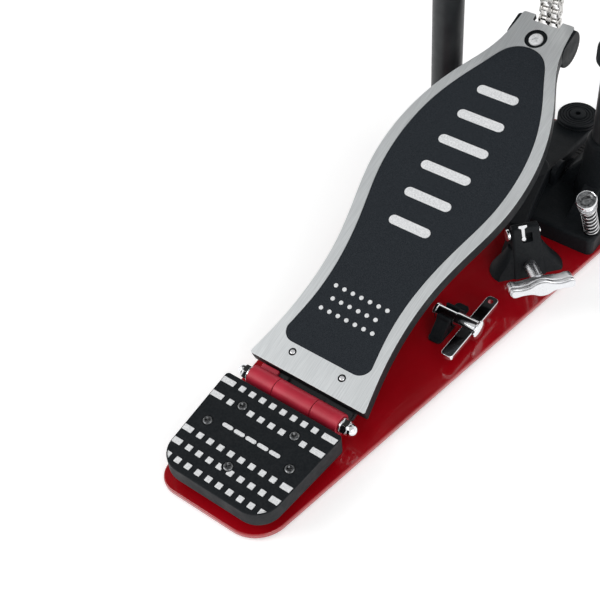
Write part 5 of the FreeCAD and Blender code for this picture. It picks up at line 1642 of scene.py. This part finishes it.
def block_clip():
    """A small T-shaped spring strip in the block's slot, its round end hanging down the face."""
    middle = -1.9
    right = [(0.9, -1.2), (1.0, 4.6), (2.6, 5.3), (2.6, 6.6)]
    outline = [(middle + x, y) for x, y in right] + [(middle - x, y) for x, y in reversed(right)]
    strip = slab(rounded(outline, [0.3, 0.6, 0.4, 0.4, 0.4, 0.4, 0.6, 0.3], 4), 0, 0.9, 0.2, 0.2)
    end = rod_z(1.35, middle, -1.4, 0, 1.1, 0.35)
    place = Matrix.Translation((0, face_y(CLIP_Z) + 0.9, CLIP_Z)) @ turn(90 - FACE_LEAN, "X")
    return moved(union(strip, end), BLOCK @ place)


def wedge_body():
    """The sliding wedge inside the block, low at its back."""
    front = 0.5
    back = 10.5
    top = slope_line(back, 0.0)
    outline = rounded([(front, WEDGE_LOW), (back, WEDGE_LOW), *top[:2], (front, WEDGE_TOP)],
                      [0.4, 0.4, 0.4, 0.3, 0.3], 4)
    return moved(slab(outline, -4.9, 4.9, 0.4, 0.4), BLOCK @ ACROSS)


def wing_outline(bulge):
    """The wings seen along the screw, in (x, z): drawn-in necks, round lobes, a middle that bulges."""
    right = [(0, -2.5 - bulge), (2.6, -2.5 - 0.8 * bulge), (5.6, -2.3 - 0.2 * bulge), (9.0, -2.1),
             (12.5, -2.15), (15.4, -2.5), (17.4, -1.9), (18.2, 0), (17.4, 1.9), (15.4, 2.45), (12.5, 2.0),
             (9.0, 2.05), (5.8, 2.4 + 0.2 * bulge), (2.8, 2.6 + 0.8 * bulge), (0, 2.6 + bulge)]
    knots = [(-2.6, right[1][1])] + right + [(-2.8, right[-2][1])]
    curve = [p for p in smooth_through(knots, 6) if p.x >= -1e-6]
    return curve + [V(-p.x, p.y) for p in reversed(curve) if p.x > 1e-3]


def wing_screw():
    """A wing screw; two fine steps run round the wings behind their outer face."""
    shank = threaded(SCREW_R, 0.22, 1.25, V(0, SCREW_INSIDE - GAP, 0), V(0, -WING_BACK - 1.0, 0), 72)
    levels = ((0.0, 0.9), (0.2, 0.5), (0.6, 0.15), (1.2, 0.0), (4.0, 0.0), (7.6, 0.0), (8.2, 0.15),
              (8.5, 0.8), (9.3, 0.8), (9.6, 0.15), (10.2, 0.0), (12.4, 0.0), (12.8, 0.2), (13.1, 0.9),
              (13.7, 0.9), (13.9, 0.45), (14.4, 0.4), (14.8, 0.75))
    rings = [level(inset(wing_outline(1.7 * min(1.0, along / 9.0)), drawn), WING_BACK + along)
             for along, drawn in levels]
    return moved(union(shank, moved(loft(rings), FORWARD)), SCREW)


def clamp_foot_body():
    pad = foot_rod(11.5, ARM_LOW - 1.5, ARM_LOW, 0.7, 0.1)
    return cut(union(pad, foot_rod(9.0, ARM_LOW - 0.5, ARM_LOW + 3, 0)), foot_rod(2.1, 0, 40, 0))


def make_clamp():
    piece("clamp_arm_casting", arm_body(), "clamp_arm", "black_casting", "clamp_arm")
    bolt = foot_rod(1.7, ARM_LOW, ARM_TOP - 3, segments=36)
    piece("clamp_foot_bolt", bolt, "clamp_arm", "black_steel", "clamp_foot_screw")
    piece("clamp_foot_rubber", clamp_foot_body(), "clamp_arm", "rubber", "clamp_foot")
    bar = pivot_rod(PIVOT_BORE_R - 0.1, PIVOT_HALF, 0.5)
    piece("clamp_pivot_bar", bar, "root", "steel", "clamp_pivot_pin", look="black_steel")
    piece("clamp_block_casting", block_body(), "root", "black_casting", "clamp_block")
    piece("clamp_block_pin", block_pin(), "root", "chrome", "clamp_cross_pin")
    piece("clamp_block_clip", block_clip(), "root", "chrome")
    piece("clamp_wedge_slide", wedge_body(), "clamp_wedge", "chrome", "clamp_wedge")
    piece("wing_screw", wing_screw(), "clamp_wing_screw", "chrome", "clamp_wing_screw", look="satin_chrome")


# ---------------------------------------------------------------- spurs

def spur_screw(side):
    """A pointed screw with a thread, below the head."""
    at, up = spur_axis(side)
    shank = threaded(SPUR_R, 0.3, 1.25, at - up * 12.0, at + up * 4)
    point = turned([(0, 0.4), (4.3, SPUR_R - 0.3)], at - up * 16.2, up, segments=48)
    return union(shank, spur_rod(side, SPUR_R - 0.1, 3, SPUR_SPRING + 2, 0), point)


def spur_head(side):
    """A thumb head with a collar, fine flutes and a dished top."""
    at, up = spur_axis(side)
    low = SPUR_HEAD_LOW
    profile = [(low, 4.2), (low + 0.3, 4.6), (low + 1.7, 4.6), (low + 2.0, 4.3), (low + 2.8, 4.5),
               (low + 4.4, 5.2), (low + 5.2, 5.85), (low + 6.0, 6.0), (low + 7.0, 6.0), (low + 7.4, 5.75),
               (low + 7.5, 5.4), (low + 7.4, 5.15), (low + 6.9, 5.0), (low + 6.6, 4.95), (low + 6.6, 0)]
    flutes = []
    for a in full_turn(24):
        out = X * math.cos(a) + up.cross(X) * math.sin(a)
        foot, top = at + up * (low + 2.9) + out * 4.75, at + up * (low + 6.3) + out * 6.2
        flutes.append(rod(0.35, foot, top, 0, segments=12))
    return cut(turned(profile, at, up, segments=90), *flutes)


def spur_cap(side):
    """The rough dished face in the head's top."""
    at, up = spur_axis(side)
    low = SPUR_HEAD_LOW
    profile = [(low + 6.4, 4.9), (low + 6.95, 4.9), (low + 7.1, 4.6), (low + 7.0, 3.6), (low + 6.8, 3.3),
               (low + 6.8, 2.4), (low + 7.0, 2.1), (low + 7.05, 0)]
    return turned(profile, at, up, segments=90)


def make_spurs():
    for word, side in SIDES.items():
        at, up = spur_axis(side)
        # The screw is chrome, but it is drawn black: painted shade for the dark gaps between the spring's
        # turns.
        piece(word + "_spur_screw", spur_screw(side), word + "_spur", "chrome", look="black_steel")
        piece(word + "_spur_head", spur_head(side), word + "_spur", "chrome", word + "_spur")
        piece(word + "_spur_cap", spur_cap(side), word + "_spur", "steel", look="dull_steel")
        low = SPUR_SPRING + GAP
        washer = tube(5.4, SPUR_R, at + up * low, at + up * (low + 0.8), 0.2)
        piece(word + "_spur_thrust_washer", washer, word + "_spur_washer", "steel", word + "_spur_washer")
        wire = coil(4.1, 1.15, at, at + up * SPUR_SPRING, 8.0)
        spring = piece(word + "_spur_coil", wire, None, "spring_steel", word + "_spur_spring")
        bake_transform(spring)


# ---------------------------------------------------------------- drum key

def clip_ear(end, x0, x1):
    """A triangular tab of the clip, towards +y or -y."""
    near = KEY_Y + end * (KEY_R + 0.95)
    ear = [V(near, BASE_TOP + 1), V(KEY_Y + end * 13.5, BASE_TOP + 1), V(near, KEY_Z + 2.4)]
    return across(ear if end > 0 else [ear[0], ear[2], ear[1]], x0, x1, 0.4)


def clip_body():
    """A sprung U on the base plate that the key's barrel drops into."""
    inner = KEY_R + 0.35
    outer = inner + 1.4
    x0, x1 = 28.0, 36.5
    strip = brick(x0, x1, KEY_Y - 15.5, KEY_Y + 17, BASE_TOP, BASE_TOP + 1.6, 0.4, 2.5)
    cheeks = brick(x0, x1, KEY_Y - outer, KEY_Y + outer, BASE_TOP + 0.8, KEY_Z + 3.4, 0.5)
    ears = [clip_ear(end, x0 + 0.3, x1 - 0.3) for end in (1, -1)]
    mouth = brick(0, 60, KEY_Y - inner, KEY_Y + inner, KEY_Z, KEY_Z + 20, 0.01)
    return cut(union(strip, cheeks, *ears), rod_x(inner, 0, 60, KEY_Y, KEY_Z, 0), mouth)


def key_body():
    """A T key: square socket in the barrel, a flat cross handle and an end disc."""
    start = 23.8
    profile = [(x - start, r) for x, r in (
        (start, 3.9), (24.1, 4.3), (25.6, 4.4), (25.9, 3.95), (37.2, 3.95), (37.5, 4.3), (38.3, 4.4),
        (50.4, 4.4), (50.6, 3.2), (51.3, 3.2))]
    barrel = turned(profile, V(start, KEY_Y, KEY_Z), X)
    button = [(0, 5.2), (0.4, 5.6), (1.0, 5.6), (1.5, 5.2), (1.9, 4.4), (2.2, 3.2), (2.4, 1.6), (2.45, 0)]
    disc = turned(button, V(51.0, KEY_Y, KEY_Z), X)
    handle = brick(43.4, 50.6, KEY_Y - 26.5, KEY_Y + 24.5, KEY_Z - 1.6, KEY_Z + 1.6, 0.45, 2.4)
    socket = brick(20, 33, KEY_Y - 2.2, KEY_Y + 2.2, KEY_Z - 2.2, KEY_Z + 2.2, 0.01)
    return cut(union(barrel, disc, handle), socket, rod_z(1.6, 47, KEY_Y + 20.5, 0, 30, 0, segments=40))


def make_key():
    piece("key_clip_spring", clip_body(), "root", "black_steel", "key_clip", look="black_casting")
    piece("drum_key_body", key_body(), "drum_key", "chrome", "drum_key")


# ---------------------------------------------------------------- studio and camera

def maths(tree, operation, first, second):
    return node(tree, "Math", {0: first, 1: second}, operation).outputs[0]


def floor():
    """A pale matt floor that keeps its shadow, lit up for the camera and for glossy rays."""
    mesh = bpy.data.meshes.new("floor")
    reach = 6.0
    corners = [(-reach, -reach), (reach, -reach), (reach, reach), (-reach, reach)]
    mesh.from_pydata([(x, y, -0.0001) for x, y in corners], [], [(0, 1, 2, 3)])
    made = bpy.data.objects.new("floor", mesh)
    bpy.context.scene.collection.objects.link(made)
    look = Look((0.9, 0.9, 0.9), roughness=0.9, Specular_IOR_Level=0.1)
    tree = look.tree
    rays = node(tree, "LightPath", {}).outputs
    seen = maths(tree, "MAXIMUM", rays["Is Camera Ray"], rays["Is Glossy Ray"])
    glow = node(tree, "Emission", {"Strength": maths(tree, "MULTIPLY", seen, 0.35)})
    both = node(tree, "AddShader", {0: tree.nodes["Principled BSDF"].outputs[0], 1: glow.outputs[0]})
    tree.links.new(both.outputs[0], tree.nodes["Material Output"].inputs["Surface"])
    mesh.materials.append(look.material)


def studio_world():
    """A bright even room, white behind the object, with a dark patch that level polished faces reflect."""
    world = bpy.data.worlds.new("studio")
    bpy.context.scene.world = world
    world.use_nodes = True
    tree = world.node_tree
    direction = node(tree, "TexCoord", {}).outputs["Generated"]
    height = node(tree, "SeparateXYZ", {0: direction}).outputs["Z"]
    room = ranged(tree, height, math.sin(deg(35)), math.sin(deg(50)), 0.95, 0.60)
    facing = node(tree, "VectorMath", {0: direction, 1: DARK_PATCH}, "DOT_PRODUCT").outputs["Value"]
    patch = ranged(tree, facing, math.cos(deg(25)), math.cos(deg(21)), 1.0, 0.05)
    seen = node(tree, "LightPath", {}).outputs["Is Camera Ray"]
    strength = maths(tree, "MAXIMUM", maths(tree, "MULTIPLY", room, patch), seen)
    tree.links.new(strength, tree.nodes["Background"].inputs["Strength"])
    tree.nodes["Background"].inputs["Color"].default_value = (1, 1, 1, 1)


def softbox(name, direction, distance, size, power):
    lamp = bpy.data.lights.new(name, "AREA")
    lamp.shape = "SQUARE"
    lamp.size = size
    lamp.energy = power
    made = bpy.data.objects.new(name, lamp)
    away = V(*direction).normalized()
    facing = away.to_track_quat("Z", "Y").to_matrix().to_4x4()
    made.matrix_world = Matrix.Translation(LIT_POINT + away * distance) @ facing
    bpy.context.scene.collection.objects.link(made)


def camera():
    data = bpy.data.cameras.new("camera")
    data.sensor_width = 36.0
    data.lens = 69.71
    made = bpy.data.objects.new("camera", data)
    made.matrix_world = basis(V(0.2548, -0.2760, 0.4995), V(0.7947, 0.6027, -0.0708),
                              V(-0.4063, 0.6151, 0.6756), V(0.4508, -0.5082, 0.7338))
    bpy.context.scene.collection.objects.link(made)
    bpy.context.scene.camera = made


def make_studio():
    floor()
    studio_world()
    softbox("key_light", (-0.60, -0.55, 0.60), 1.6, 0.8, 7.0)
    softbox("fill_light", (0.85, -0.35, 0.55), 1.6, 0.9, 5.0)
    camera()
    bpy.context.scene.view_settings.view_transform = "Standard"


# ---------------------------------------------------------------- the whole object

make_studio()
make_base()
make_heel()
make_footboard()
make_pedestal()
make_shaft()
make_chain()
make_beater()
make_return_spring()
make_clamp()
make_spurs()
make_key()
